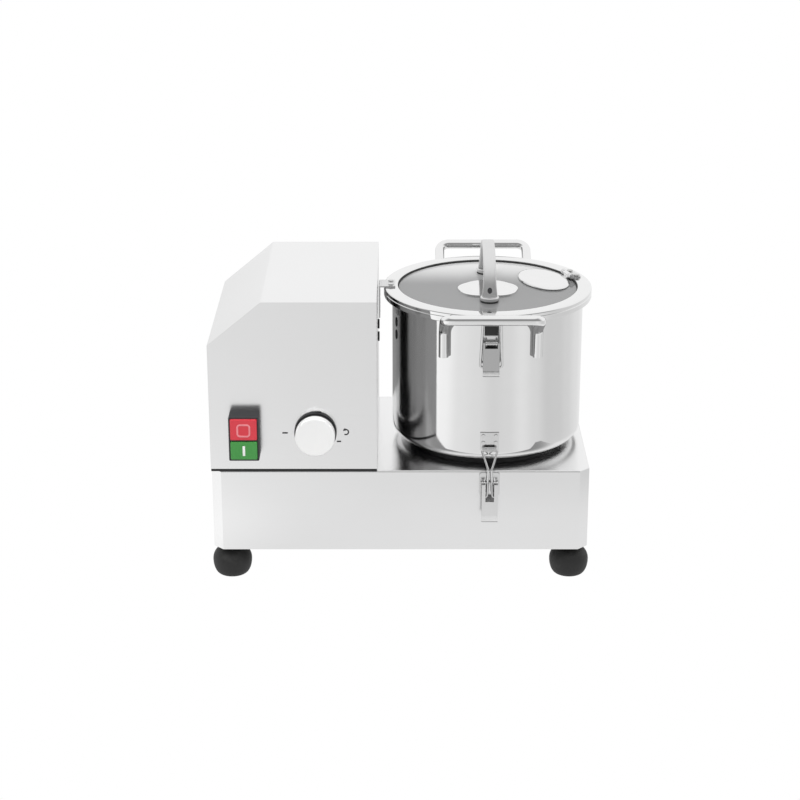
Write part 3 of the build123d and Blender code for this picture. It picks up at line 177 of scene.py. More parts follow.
mirrorSteel = {
    "colour": 0.87, "dark": 0.975, "light": 1.01, "roughness": 0.04, "wipeScale": 14.0, "wipeDetail": 4.0,
    "wipeStretch": (1.0, 1.0, 0.35), "wipe": (0.42, 0.75), "wipeGloss": 0.05, "hazeScale": 60.0,
    "hazeDetail": 5.0, "hazeGloss": 0.03, "coarseness": 0.6,
}


def mirrorSteelLook(t):
    # polished steel: soft wiping marks in the gloss and a very fine haze
    m = mirrorSteel
    place = t.place()
    wipe = t.noise(place, m["wipeScale"], m["wipeDetail"], m["coarseness"], m["wipeStretch"])
    haze = t.noise(place, m["hazeScale"], m["hazeDetail"], m["coarseness"])
    return {
        "Base Color": haze.blendColours((m["colour"] * m["dark"],) * 3, (m["colour"] * m["light"],) * 3),
        "Roughness": m["roughness"] + wipe.smooth(*m["wipe"]) * m["wipeGloss"] + haze * m["hazeGloss"],
    }


softSteel = {
    "colour": 0.80, "dark": 0.93, "light": 1.03, "roughness": 0.18, "uneven": 0.16, "hingeRoughness": 0.42,
    "grainScale": 260.0, "grainDetail": 5.0, "grainCoarseness": 0.65, "grainStretch": (1.0, 1.0, 0.2),
    "grainDepth": 0.02,
}


def scratches(t, place):
    # short upright scratches of tumbled steel
    s = softSteel
    return t.noise(place, s["grainScale"], s["grainDetail"], s["grainCoarseness"], s["grainStretch"])


def pressedSteel(roughness):
    # tumbled pressed steel on the latches: short scratches and slightly uneven gloss
    def look(t):
        s = softSteel
        grain = scratches(t, t.place())
        return {
            "Base Color": grain.blendColours((s["colour"] * s["dark"],) * 3, (s["colour"] * s["light"],) * 3),
            "Roughness": roughness + (grain - 0.5) * s["uneven"],
            "Normal": t.bump(grain, s["grainDepth"]),
        }
    return look


# the face's grey is painted shade and the lip's brighter colour a painted highlight; lip is the height band,
# in metres, where they meet
upperLever = {"colour": 0.52, "lipPaintedHighlight": 0.90, "lip": (0.2470, 0.2490)}


def leverLook(t):
    # the upper lever: lit and shaded tones of one steel, a painted shade of grey on its face and a painted
    # highlight below on the turned-out lip
    place = t.place()
    face = place.coordinate("Z").smooth(*upperLever["lip"])
    grain = scratches(t, place)
    return {
        # painted light: grey shade on the face, a bright painted highlight on the lip
        "Base Color": face.blendColours((upperLever["lipPaintedHighlight"],) * 3, (upperLever["colour"],) * 3),
        "Roughness": softSteel["roughness"] + (grain - 0.5) * softSteel["uneven"],
        "Normal": t.bump(grain, softSteel["grainDepth"]),
    }


# shade is the height band, in metres, where the plate's painted shade under the ring begins; dark is that
# shade's colour
latchBasePaintedShade = {"shade": (0.2855, 0.2875), "dark": 0.02, "roughness": 0.18, "uneven": 0.14, "darkGloss": 0.15}


def latchBasePaintedShadeLook(t):
    # the upper latch's plate: painted shade, near black and not metal, above its ears where the ring's shadow
    # falls; bright steel below
    place = t.place()
    shade = place.coordinate("Z").smooth(*latchBasePaintedShade["shade"])
    grain = scratches(t, place)
    return {
        # painted shade: the colour turns near black above the band, standing for the shadow under the ring
        "Base Color": shade.blendColours((softSteel["colour"],) * 3, (latchBasePaintedShade["dark"],) * 3),
        "Metallic": 1 - shade,
        "Roughness": latchBasePaintedShade["roughness"] + grain * latchBasePaintedShade["uneven"] + shade * latchBasePaintedShade["darkGloss"],
    }


# finishes with one grain that drives colour, gloss and relief; a stretch under 1 draws it out along that
# axis, so that turned parts show rings round the upright one
grained = {
    "ground_steel": {
        "name": "groundSteel", "metallic": 1.0, "scale": 1400.0, "detail": 3.0, "coarseness": 0.6,
        "stretch": (0.03, 0.03, 1.0), "dark": (0.60, 0.60, 0.61), "light": (0.72, 0.72, 0.73),
        "roughness": 0.2, "uneven": 0.12, "depth": 0.01},
    "zinc_steel": {
        "name": "zincSteel", "metallic": 1.0, "scale": 420.0, "detail": 3.0, "coarseness": 0.7,
        "stretch": (1.0, 1.0, 1.0), "dark": (0.50, 0.50, 0.50), "light": (0.66, 0.66, 0.64),
        "roughness": 0.28, "uneven": 0.15, "depth": 0.0},
    "cast_aluminium": {
        "name": "castAluminium", "metallic": 1.0, "scale": 700.0, "detail": 6.0, "coarseness": 0.7,
        "stretch": (1.0, 1.0, 1.0), "dark": (0.50, 0.50, 0.51), "light": (0.64, 0.64, 0.65),
        "roughness": 0.42, "uneven": 0.2, "depth": 0.12},
    "painted_motor": {
        "name": "motorEnamel", "metallic": 0.0, "scale": 500.0, "detail": 5.0, "coarseness": 0.6,
        "stretch": (1.0, 1.0, 1.0), "dark": (0.085, 0.11, 0.14), "light": (0.115, 0.145, 0.18),
        "roughness": 0.38, "uneven": 0.12, "depth": 0.05},
    "pulley_iron": {
        "name": "turnedIron", "metallic": 1.0, "scale": 1100.0, "detail": 3.0, "coarseness": 0.6,
        "stretch": (0.04, 0.04, 1.0), "dark": (0.20, 0.20, 0.20), "light": (0.33, 0.33, 0.32),
        "roughness": 0.35, "uneven": 0.15, "depth": 0.02},
    "belt_rubber": {
        "name": "beltCloth", "metallic": 0.0, "scale": 1500.0, "detail": 3.0, "coarseness": 0.6,
        "stretch": (1.0, 1.0, 1.0), "dark": (0.012, 0.012, 0.012), "light": (0.05, 0.05, 0.05),
        "roughness": 0.6, "uneven": 0.2, "depth": 0.1},
    "dark_plastic": {
        "name": "darkPlastic", "metallic": 0.0, "scale": 1300.0, "detail": 4.0, "coarseness": 0.6,
        "stretch": (1.0, 1.0, 1.0), "dark": (0.022, 0.022, 0.024), "light": (0.045, 0.045, 0.048),
        "roughness": 0.32, "uneven": 0.12, "depth": 0.03},
    "silicone": {
        "name": "paleSeal", "metallic": 0.0, "scale": 200.0, "detail": 3.0, "coarseness": 0.6,
        "stretch": (1.0, 1.0, 1.0), "dark": (0.62, 0.62, 0.60), "light": (0.72, 0.72, 0.70),
        "roughness": 0.45, "uneven": 0.15, "depth": 0.0},
}


def grainedLook(g):
    def look(t):
        grain = t.noise(t.place(), g["scale"], g["detail"], g["coarseness"], g["stretch"])
        sockets = {
            "Base Color": grain.blendColours(g["dark"], g["light"]),
            "Roughness": g["roughness"] + grain * g["uneven"],
        }
        if g["depth"]:
            sockets["Normal"] = t.bump(grain, g["depth"])
        return sockets
    return look


rubber = {
    "dark": 0.010, "light": (0.045, 0.045, 0.044), "dustShare": 0.6, "skinShare": 0.3, "roughness": 0.50,
    "skinGloss": 0.2, "dustGloss": 0.12, "skinScale": 900.0, "skinDetail": 5.0, "skinCoarseness": 0.7,
    "skinDepth": 0.12, "dustScale": 45.0, "dustDetail": 4.0, "dustCoarseness": 0.65, "dust": (0.50, 0.72),
}


def rubberLook(t):
    # moulded rubber: a fine pitted skin with paler dust in its hollows
    r = rubber
    place = t.place()
    skin = t.noise(place, r["skinScale"], r["skinDetail"], r["skinCoarseness"])
    dust = t.noise(place, r["dustScale"], r["dustDetail"], r["dustCoarseness"]).smooth(*r["dust"])
    pale = dust * r["dustShare"] + skin * r["skinShare"]
    return {
        "Base Color": pale.blendColours((r["dark"],) * 3, r["light"]),
        "Roughness": r["roughness"] + skin * r["skinGloss"] + dust * r["dustGloss"],
        "Normal": t.bump(skin, r["skinDepth"]),
    }


# moulded plastics: a name, then the darker and the lighter colour of the cloud
moulded = {
    "red_plastic": ("redButton", (0.66, 0.035, 0.055), (0.74, 0.055, 0.075)),
    "green_plastic": ("greenButton", (0.045, 0.27, 0.05), (0.065, 0.33, 0.07)),
    "mark_white": ("markWhite", (0.88, 0.88, 0.87), (0.94, 0.94, 0.93)),
    "mark_pink": ("markPink", (0.80, 0.22, 0.25), (0.86, 0.30, 0.33)),
    "capacitor_case": ("paleCase", (0.60, 0.60, 0.58), (0.68, 0.68, 0.66)),
}
mouldedSkin = {
    "cloud": (60.0, 3.0, 0.6), "peel": (700.0, 2.0, 0.5), "roughness": 0.26, "uneven": 0.10, "peelDepth": 0.02,
}


def colouredPlastic(dark, light):
    # moulded button: nearly even colour with a slight cloud and orange-peel gloss
    def look(t):
        place = t.place()
        cloud = t.noise(place, *mouldedSkin["cloud"])
        peel = t.noise(place, *mouldedSkin["peel"])
        return {
            "Base Color": cloud.blendColours(dark, light),
            "Roughness": mouldedSkin["roughness"] + cloud * mouldedSkin["uneven"],
            "Normal": t.bump(peel, mouldedSkin["peelDepth"]),
        }
    return look


knobFinish = {
    "splitY": -0.1290, "softness": 0.0002, "white": (0.95, 0.95, 0.94525), "dark": 0.012, "roughness": 0.30,
    "uneven": 0.10, "peelDepth": 0.01,
}


def knobLook(t):
    # white in front of the split line, black behind it, with a slight orange-peel gloss
    k = knobFinish
    place = t.place()
    behind = place.coordinate("Y").smooth(k["splitY"] - k["softness"], k["splitY"] + k["softness"])
    cloud = t.noise(place, *mouldedSkin["cloud"])
    peel = t.noise(place, *mouldedSkin["peel"])
    return {
        "Base Color": behind.blendColours(k["white"], (k["dark"],) * 3),
        "Roughness": k["roughness"] + cloud * k["uneven"],
        "Normal": t.bump(peel, k["peelDepth"]),
    }


window = {
    "front": (0.20, 0.202, 0.203), "back": (0.64, 0.64, 0.64), "paintedPaleBack": (0.005, 0.085), "smearShare": 0.03,
    "smearScale": 16.0, "smearDetail": 4.0, "smearCoarseness": 0.6, "smearStretch": (1.0, 0.4, 1.0),
    "smear": (0.5, 0.8), "smearGloss": 0.06, "roughness": 0.05, "alpha": 0.86, "ior": 1.49,
}


def windowLook(t):
    # grey-tinted sheet, drawn paler towards its back edge as painted light from the bright back, with faint
    # smears in its gloss
    w = window
    place = t.place()
    smear = t.noise(place, w["smearScale"], w["smearDetail"], w["smearCoarseness"], w["smearStretch"])
    pale = place.coordinate("Y").smooth(*w["paintedPaleBack"])
    share = pale * (1 - w["smearShare"]) + smear * w["smearShare"]
    return {
        # painted light: the base colour pales from the front tint to the back colour over the band in Y
        "Base Color": share.blendColours(w["front"], w["back"]),
        "Roughness": w["roughness"] + smear.smooth(*w["smear"]) * w["smearGloss"],
    }


finishes = {
    "brushed_sheet": makeFinish("sheetSteel", {"Metallic": 1.0}, sheetSteelLook),
    "polished_steel": makeFinish("mirrorSteel", {"Metallic": 1.0}, mirrorSteelLook),
    "latch_steel": makeFinish("softSteel", {"Metallic": 1.0}, pressedSteel(softSteel["roughness"])),
    "hinge_steel": makeFinish("hingeSteel", {"Metallic": 1.0}, pressedSteel(softSteel["hingeRoughness"])),
    "lever_steel": makeFinish("leverSteel", {"Metallic": 1.0}, leverLook),
    "latch_base": makeFinish("latchBasePaintedShade", {}, latchBasePaintedShadeLook),
    "black_rubber": makeFinish("footRubber", {"Metallic": 0.0}, rubberLook),
    "white_plastic": makeFinish("knobWhiteAndBlack", {"Metallic": 0.0}, knobLook),
    "clear_window": makeFinish(
        "tintedWindow", {"Metallic": 0.0, "Alpha": window["alpha"], "IOR": window["ior"]}, windowLook),
}
for slot, g in grained.items():
    finishes[slot] = makeFinish(g["name"], {"Metallic": g["metallic"]}, grainedLook(g))
for slot, (name, dark, light) in moulded.items():
    finishes[slot] = makeFinish(name, {"Metallic": 0.0}, colouredPlastic(dark, light))

# nodes whose finish differs from the one of their slot in the record
ownFinish = {
    "bowl_catches": "latch_steel", "lid_catches": "latch_steel", "lower_latch_bases": "latch_steel",
    "upper_latch_bases": "latch_base", "upper_lever_front": "lever_steel", "upper_lever_rear": "lever_steel",
    "lower_lever_front": "latch_steel", "lower_lever_rear": "latch_steel", "interlock_bracket": "hinge_steel",
    "cap_hinge": "hinge_steel",
}
for part in frame["record"]["subparts"]:
    name = part["node"]
    slot = ownFinish.get(name, part["material_slot"])
    mesh = nodes[name].data
    mesh.materials.clear()
    mesh.materials.append(finishes[slot])
print("finishes made:", len(finishes))


# Shape helpers: each returns a grid of points (rows, columns, 3) in millimetres

def lathe(profile, centre, steps, facing="up"):
    # a profile of (radius, height) turned round an axis: x = r cos a, y = r sin a, z = height;
    # facing front puts the axis along -Y
    profile = np.asarray(profile, float)
    angle = np.linspace(0, 2 * math.pi, steps + 1)
    r = profile[:, 0:1]
    h = np.repeat(profile[:, 1:2], steps + 1, 1)
    x = r * np.cos(angle)
    y = r * np.sin(angle)
    points = np.stack([x, y, h], -1) if facing == "up" else np.stack([x, -h, y], -1)
    return points + np.asarray(centre, float)


def arc(centre, radius, start, end, steps):
    # points of a circle's arc in the profile's plane, angles in degrees
    angle = np.radians(np.linspace(start, end, steps + 1))
    return np.stack([centre[0] + radius * np.cos(angle), centre[1] + radius * np.sin(angle)], -1)


def outline(*parts):
    # straight points and arcs joined into one closed profile
    points = np.concatenate([np.atleast_2d(np.asarray(part, float)) for part in parts])
    return np.concatenate([points, points[:1]])


def bentPath(corners, radius, steps):
    # straight runs joined by tangent arcs: at each corner the arc's spoke turns evenly
    # from one touching point to the other about the arc's centre
    corners = np.asarray(corners, float)
    pieces = [corners[:1]]
    share = np.linspace(0, 1, steps + 1)[:, None]
    for before, corner, after in zip(corners[:-2], corners[1:-1], corners[2:]):
        back = (before - corner) / np.linalg.norm(before - corner)
        on = (after - corner) / np.linalg.norm(after - corner)
        half = math.acos(np.clip(back @ on, -1, 1)) / 2
        reach = radius / math.tan(half)
        hub = corner + (back + on) / np.linalg.norm(back + on) * radius / math.sin(half)
        first = corner + back * reach - hub
        last = corner + on * reach - hub
        sweep = math.pi - 2 * half
        pieces.append(
            hub + (np.sin((1 - share) * sweep) * first + np.sin(share * sweep) * last) / math.sin(sweep))
    return np.concatenate(pieces + [corners[-1:]])


def carry(path, section, up=(0.36, 0.48, 0.80), scale=None):
    # a closed section (across, out) carried along a path: point = path + across * side + out * other,
    # where side is square to the path and to up
    path = np.asarray(path, float)
    along = np.gradient(path, axis=0)
    along /= np.linalg.norm(along, axis=1, keepdims=True)
    side = np.cross(along, np.asarray(up, float))
    side /= np.linalg.norm(side, axis=1, keepdims=True)
    other = np.cross(side, along)
    sizes = np.ones((len(path), 2)) if scale is None else np.asarray(scale, float)
    across = section[None, :, 0:1] * sizes[:, None, 0:1]
    out = section[None, :, 1:2] * sizes[:, None, 1:2]
    return path[:, None] + across * side[:, None] + out * other[:, None]


def ring(radius, steps):
    return arc((0, 0), radius, 0, 360, steps)


def roundedRectangle(width, height, radius, steps):
    # four quarter arcs at the corners, closed
    w = width / 2 - radius
    h = height / 2 - radius
    return outline(
        arc((w, h), radius, 0, 90, steps), arc((-w, h), radius, 90, 180, steps),
        arc((-w, -h), radius, 180, 270, steps), arc((w, -h), radius, 270, 360, steps))


def softBlock(low, high, radius, steps=4):
    # a block with rounded edges: each octant of a sphere is moved out to its corner of the block
    low = np.asarray(low, float)
    high = np.asarray(high, float)
    quarter = np.linspace(0, math.pi / 2, steps + 1)
    turn = np.concatenate([quarter + k * math.pi / 2 for k in range(4)] + [np.zeros(1)])
    rise = np.concatenate([quarter - math.pi / 2, quarter])
    quadrant = np.append(np.repeat(np.arange(4), steps + 1), 0)
    signX = np.where((quadrant == 0) | (quadrant == 3), 1.0, -1.0)
    signY = np.where(quadrant < 2, 1.0, -1.0)
    signZ = np.repeat([-1.0, 1.0], steps + 1)
    ball = np.stack([
        np.outer(np.cos(rise), np.cos(turn)), np.outer(np.cos(rise), np.sin(turn)),
        np.repeat(np.sin(rise)[:, None], len(turn), 1)], -1)
    corner = np.stack([
        np.broadcast_to(signX, ball.shape[:2]), np.broadcast_to(signY, ball.shape[:2]),
        np.broadcast_to(signZ[:, None], ball.shape[:2])], -1)
    return (low + high) / 2 + ball * radius + corner * ((high - low) / 2 - radius)


def bothSides(rows):
    # a path through rows on one side of the bowl's middle plane and back through their mirror images
    one = [(bowlX + x, y, z) for x, y, z in rows]
    other = [(bowlX - x, y, z) for x, y, z in rows]
    return one + other[::-1]


def gridMesh(name, points, capped):
    # quads between neighbouring points of the grid; capped closes its first and last row
    rows, columns = points.shape[:2]
    index = np.arange(rows * columns).reshape(rows, columns)
    quads = np.stack([index[:-1, :-1], index[:-1, 1:], index[1:, 1:], index[1:, :-1]], -1)
    faces = quads.reshape(-1, 4).tolist()
    if capped:
        faces += [index[0, :-1].tolist(), index[-1, :-1].tolist()]
    mesh = bpy.data.meshes.new(name)
    mesh.from_pydata((points * mm).reshape(-1, 3).tolist(), [], faces)
    return mesh


meshing = {"mergeWithin": 0.002, "sharpAngle": 32.0}


def addPiece(name, grids, slot, body, hides=(), finish=None):
    # grids become one mesh; repeated points merge, so rings and poles close
    made = bmesh.new()
    for points in grids:
        shell = gridMesh(name, points, capped=not np.allclose(points[0], points[-1]))
        made.from_mesh(shell)
        bpy.data.meshes.remove(shell)
    bmesh.ops.remove_doubles(made, verts=made.verts, dist=meshing["mergeWithin"] * mm)
    bmesh.ops.recalc_face_normals(made, faces=made.faces)
    mesh = bpy.data.meshes.new(name)
    made.to_mesh(mesh)
    made.free()
    mesh.shade_smooth()
    mesh.set_sharp_from_angle(angle=math.radians(meshing["sharpAngle"]))
    mesh.materials.append(finishes[finish or slot])
    piece = bpy.data.objects.new(name, mesh)
    bpy.context.scene.collection.objects.link(piece)
    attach(piece, body)
    if hides:
        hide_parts(*hides)


# Bowl and its handles

pan = {
    "radius": 108.0, "wall": 1.5, "corner": 12.0, "rimRadius": 113.5, "rimThickness": 1.8, "rimNeck": 1.0,
    "rimFillet": 1.2, "rimRound": 0.9, "mouthBevel": 0.8, "tubeBore": 24.5, "tubeTop": 201.5, "tubeBevel": 3.0,
    "steps": 192, "cornerSteps": 14, "filletSteps": 4, "rimSteps": 8,
}
panLow, panHigh = nodeBox("bowl")
bowlX = middle("bowl")[0]


def makePan():
    # one closed profile: outside wall down to the corner arc, floor, centre tube, and back up inside
    r, t, c = pan["radius"], pan["wall"], pan["corner"]
    low, rim = panLow[2], panHigh[2]
    underRim = rim - pan["rimThickness"]
    fillet, edge, mouth = pan["rimFillet"], pan["rimRound"], pan["mouthBevel"]
    bore, top, bevel = pan["tubeBore"], pan["tubeTop"], pan["tubeBevel"]
    tube = bore + t
    profile = outline(
        [(bore, low), (r - c, low)],
        arc((r - c, low + c), c, -90, 0, pan["cornerSteps"]),
        [(r, underRim - pan["rimNeck"])],
        arc((r + fillet, underRim - fillet), fillet, 180, 90, pan["filletSteps"]),
        arc((pan["rimRadius"] - edge, rim - edge), edge, -90, 90, pan["rimSteps"]),
        [(r - t + mouth, rim), (r - t, rim - mouth), (r - t, low + c)],
        arc((r - c, low + c), c - t, 0, -90, pan["cornerSteps"]),
        [(tube + bevel, low + t), (tube, low + t + bevel), (tube, top), (bore, top)],
    )
    return [lathe(profile, (bowlX, 0, 0), pan["steps"])]


addPiece("bowlShell", makePan(), "polished_steel", "bowl", ("bowl",))

barHandle = {
    "rod": 5.5, "halfSpan": 51.5, "reach": 150.0, "barZ": 317.0, "footZ": 259.0, "kneeZ": 291.0, "bend": 11.0,
    "sink": 2.0, "bendSteps": 10, "rodSteps": 28,
}


def makeBarHandle(side):
    # a round bar on two upright legs; side is -1 in front and 1 behind
    h = barHandle
    wall = math.sqrt((pan["radius"] + h["rod"] - h["sink"]) ** 2 - h["halfSpan"] ** 2)
    leg = [(h["halfSpan"], side * wall, h["footZ"]), (h["halfSpan"], side * wall, h["kneeZ"]),
           (h["halfSpan"], side * h["reach"], h["barZ"])]
    return [carry(bentPath(bothSides(leg), h["bend"], h["bendSteps"]), ring(h["rod"], h["rodSteps"]))]


for word, side in (("front", -1), ("rear", 1)):
    addPiece(f"barHandle_{word}", makeBarHandle(side), "polished_steel", "bowl", (f"bowl_handle_{word}",))
print("bowl made")


# Lid: ring, a black bead of painted shade in the window's edge gap, strap handle with screws drawn dark as
# painted shade, and feed cap

lidRim = {
    "outer": 117.47, "inner": 101.6, "sheet": 1.5, "innerRound": 0.6, "shoulder": 1.6, "lowerRound": 0.9,
    "grooveDepth": 0.55, "grooveHalf": 0.5, "grooveDrop": 4.8, "steps": 192, "innerSteps": 4,
    "shoulderSteps": 8, "lowerSteps": 5,
}
rimLow, rimHigh = nodeBox("lid_ring")
windowTop = nodeBox("lid_window")[1][2]


def makeLidRim():
    # a flat band with a rounded shoulder and a skirt with one rolled groove
    d = lidRim
    o, i = d["outer"], d["inner"]
    edge, shoulder, toe = d["innerRound"], d["shoulder"], d["lowerRound"]
    low, top = rimLow[2], rimHigh[2]
    groove = top - d["grooveDrop"]
    profile = outline(
        [(i, windowTop)], arc((i + edge, top - edge), edge, 180, 90, d["innerSteps"]),
        arc((o - shoulder, top - shoulder), shoulder, 90, 0, d["shoulderSteps"]),
        [(o, groove + d["grooveHalf"]), (o - d["grooveDepth"], groove), (o, groove - d["grooveHalf"])],
        arc((o - toe, low + toe), toe, 0, -90, d["lowerSteps"]),
        [(o - d["sheet"], low), (o - d["sheet"], windowTop)],
    )
    return [lathe(profile, (bowlX, 0, 0), d["steps"])]


addPiece("lidRim", makeLidRim(), "polished_steel", "lid", ("lid_ring",))

windowGapShade = {"width": 1.1, "height": 2.2, "lap": 0.1, "lean": 0.3, "toe": 0.5, "steps": 160}


def makeWindowGapShade():
    # a black bead in the corner between the window and the ring's inner edge: painted shade standing for the
    # shadow gap there
    i = lidRim["inner"]
    d = windowGapShade
    top = windowTop + d["height"]
    profile = [(i - d["width"], windowTop), (i + d["lap"], windowTop), (i + d["lap"], top),
               (i - d["lean"], top), (i - d["width"], windowTop + d["toe"])]
    return [lathe(outline(profile), (bowlX, 0, 0), d["steps"])]


addPiece("windowGapShade", makeWindowGapShade(), "black_rubber", "lid")

strap = {
    "width": 14.0, "thickness": 5.0, "corner": 2.0, "halfSpan": 56.0, "footRadius": 10.5, "footHeight": 4.0,
    "footRound": 1.6, "footEdge": 0.5, "flare": 0.30, "flareAngle": 0.7, "points": 49, "cornerSteps": 6,
    "footSteps": 64,
}
strapLow, strapHigh = nodeBox("lid_handle")
strapBase = strapLow[2]
strapRise = strapHigh[2] - strapBase - strap["thickness"] / 2


def makeStrap():
    # a crowned strap along a half ellipse, y = span cos a, z = rise sin a, wider towards its feet
    span = strap["halfSpan"]
    angle = np.linspace(0, math.pi, strap["points"])
    path = np.stack([
        np.full_like(angle, bowlX), span * np.cos(angle), strapBase + strapRise * np.sin(angle)], -1)
    near = np.clip(1 - np.minimum(angle, math.pi - angle) / strap["flareAngle"], 0, 1)
    scale = np.stack([np.ones_like(near), 1 + strap["flare"] * near ** 2], -1)
    section = roundedRectangle(strap["thickness"], strap["width"], strap["corner"], strap["cornerSteps"])
    grids = [carry(path, section, (1, 0, 0), scale)]
    r, h, edge = strap["footRadius"], strap["footHeight"], strap["footRound"]
    profile = np.concatenate([
        [(0, 0), (r - strap["footEdge"], 0)], arc((r - edge, h - edge), edge, 0, 90, strap["cornerSteps"]),
        [(0, h)]])
    for side in (-1, 1):
        grids.append(lathe(profile, (bowlX, side * span, strapBase), strap["footSteps"]))
    return grids


addPiece("lidStrap", makeStrap(), "polished_steel", "lid", ("lid_handle",), finish="hinge_steel")

strapScrew = {
    "angle": 12.0, "halfWidth": 2.6, "halfHeight": 3.4, "sunk": 1.0, "proud": 0.25, "crown": 0.9, "points": 33,
}


def makeStrapScrewsPaintedShade():
    # the screw low on each leg of the strap, a flat oval on the outer face drawn dark as painted shade for its
    # recess:
    # point = spot + out * lift + along * height sin t + x * width cos t, out being square to the ellipse
    d = strapScrew
    a = math.radians(d["angle"])
    spot = np.array([bowlX, strap["halfSpan"] * math.cos(a), strapBase + strapRise * math.sin(a)])
    along = np.array([0, -strap["halfSpan"] * math.sin(a), strapRise * math.cos(a)])
    along /= np.linalg.norm(along)
    out = np.array([0, along[2], -along[1]])
    spot = spot + out * strap["thickness"] / 2
    turn = np.linspace(0, 2 * math.pi, d["points"])[:, None]
    levels = [(0.0, -d["sunk"]), (1.0, -d["sunk"]), (1.0, 0.0), (d["crown"], d["proud"]), (0.0, d["proud"])]
    width = d["halfWidth"] * np.cos(turn) * np.array([1.0, 0, 0])
    height = d["halfHeight"] * np.sin(turn) * along
    oval = np.stack([spot + out * lift + (width + height) * share for share, lift in levels])
    return [oval * np.array([1.0, side, 1.0]) for side in (-1, 1)]


# painted shade: the screws take the dark plastic finish to stand for the shade in their recess
addPiece("strapScrewsPaintedShade", makeStrapScrewsPaintedShade(), "polished_steel", "lid", finish="dark_plastic")

feed = {
    "angle": 20.0, "centre": 69.0, "halfRadial": 26.0, "halfAlong": 42.0, "thickness": 2.5, "lift": 0.4,
    "spigot": 2.0, "rim": 6.0, "knuckle": 12.0, "pinRadius": 3.0, "axisInset": 2.5, "armLap": 6.0,
    "armLow": 0.2, "armDrop": 0.05, "armRound": 0.5, "points": 97, "barrelSteps": 32,
    "edge": [(0.985, 0.0), (1.0, 0.4)],
    "lens": [(1.0, 1.3), (0.985, 0.6), (0.955, 0.15), (0.91, 0.0), (0.80, 0.12), (0.45, 0.35), (0.0, 0.4)],
}


def inFeedPlace(points):
    # turned from the radial line to the feed hole's side of the lid
    c, s = math.cos(math.radians(feed["angle"])), math.sin(math.radians(feed["angle"]))
    x, y, z = points[..., 0], points[..., 1], points[..., 2]
    return np.stack([bowlX + x * c - y * s, x * s + y * c, z], -1)


def makeFeedCap():
    # an oval lens: each ring of the profile is an ellipse, x = a k cos t, y = b k sin t; the edge's rows
    # are (share k, rise over the underside), the lens' rows (share k, drop below the top)
    low = windowTop + feed["lift"]
    high = low + feed["thickness"]
    a, b = feed["halfRadial"], feed["halfAlong"]
    inner = (a - feed["rim"]) / a
    levels = [(0.0, low - feed["spigot"]), (inner, low - feed["spigot"]), (inner, low)]
    levels += [(share, low + rise) for share, rise in feed["edge"]]
    levels += [(share, high - drop) for share, drop in feed["lens"]]
    turn = np.linspace(0, 2 * math.pi, feed["points"])
    rings = [np.stack([feed["centre"] + a * k * np.cos(turn), b * k * np.sin(turn), np.full_like(turn, z)], -1)
             for k, z in levels]
    axisX = lidRim["inner"] - feed["axisInset"]
    axisZ = nodeBox("feed_cap")[1][2] - feed["pinRadius"]
    half, pin = feed["knuckle"] / 2, feed["pinRadius"]
    pinProfile = [(0, -half), (pin, -half), (pin, half), (0, half)]
    barrel = lathe(pinProfile, (axisX, 0, axisZ), feed["barrelSteps"], "front")
    arm = softBlock((feed["centre"] + a - feed["armLap"], -half, low + feed["armLow"]),
                    (axisX, half, high - feed["armDrop"]), feed["armRound"])
    return [inFeedPlace(np.stack(rings)), inFeedPlace(barrel), inFeedPlace(arm)]


addPiece("feedCap", makeFeedCap(), "polished_steel", "feed_cap", ("feed_cap",))
print("lid made")


# Wire bails of the latches, from the lever's ear round to the hook

bails = {
    "lid": {"node": "upper_bail", "wire": 1.25, "bend": 2.6, "rows": [
        (7.6, -115.5, 252.5), (12.0, -115.5, 252.5), (10.0, -123.8, 306.0)]},
    "bowl": {"node": "lower_bail", "wire": 1.25, "bend": 2.0, "rows": [
        (8.94, -130.0, 105.5), (3.0, -130.0, 105.5), (1.8, -129.0, 137.0), (9.0, -115.8, 155.5)]},
}
wireShape = {"bendSteps": 6, "steps": 16, "up": (0.05, 1.0, 0.03)}
for kind, bail in bails.items():
    for word, side in (("front", 1), ("rear", -1)):
        corners = bothSides([(x, side * y, z) for x, y, z in bail["rows"]])
        path = bentPath(corners, bail["bend"], wireShape["bendSteps"])
        wire = carry(path, ring(bail["wire"], wireShape["steps"]), wireShape["up"])
        addPiece(f"{kind}Bail_{word}", [wire], "polished_steel", f"{kind}_latch_bail_{word}",
                 (f"{bail['node']}_{word}",), finish="latch_steel")
print("bails made")


# Feet

foot = {
    "radius": 22.0, "neck": 10.5, "neckHeight": 7.0, "belly": 17.0, "sole": 14.0, "bore": 6.6, "points": 24,
    "steps": 72,
}


def makeFoot(node):
    # a straight neck and a round belly: two quarter ellipses meet at the widest ring,
    # r = neck + (radius - neck) sin a above it and r = sole + (radius - sole) cos a below it
    low, high = nodeBox(node)
    height = high[2] - low[2]
    centre = (low + high) / 2
    turn = np.linspace(0, math.pi / 2, foot["points"])
    neck, sole, belly, bore = foot["neck"], foot["sole"], foot["belly"], foot["bore"]
    over = height - foot["neckHeight"] - belly
    upper = np.stack([neck + (foot["radius"] - neck) * np.sin(turn), belly + over * np.cos(turn)], -1)
    lower = np.stack([sole + (foot["radius"] - sole) * np.cos(turn), belly * (1 - np.sin(turn))], -1)
    profile = outline([(bore, height), (neck, height)], upper, lower[1:], [(bore, 0), (bore, height)])
    return [lathe(profile, (centre[0], centre[1], 0), foot["steps"])]


for corner in ("front_left", "rear_left", "front_right", "rear_right"):
    addPiece(f"foot_{corner}_rubber", makeFoot(f"foot_{corner}"), "black_rubber", "root", (f"foot_{corner}",))
print("feet made")


# Timer knob and its dial

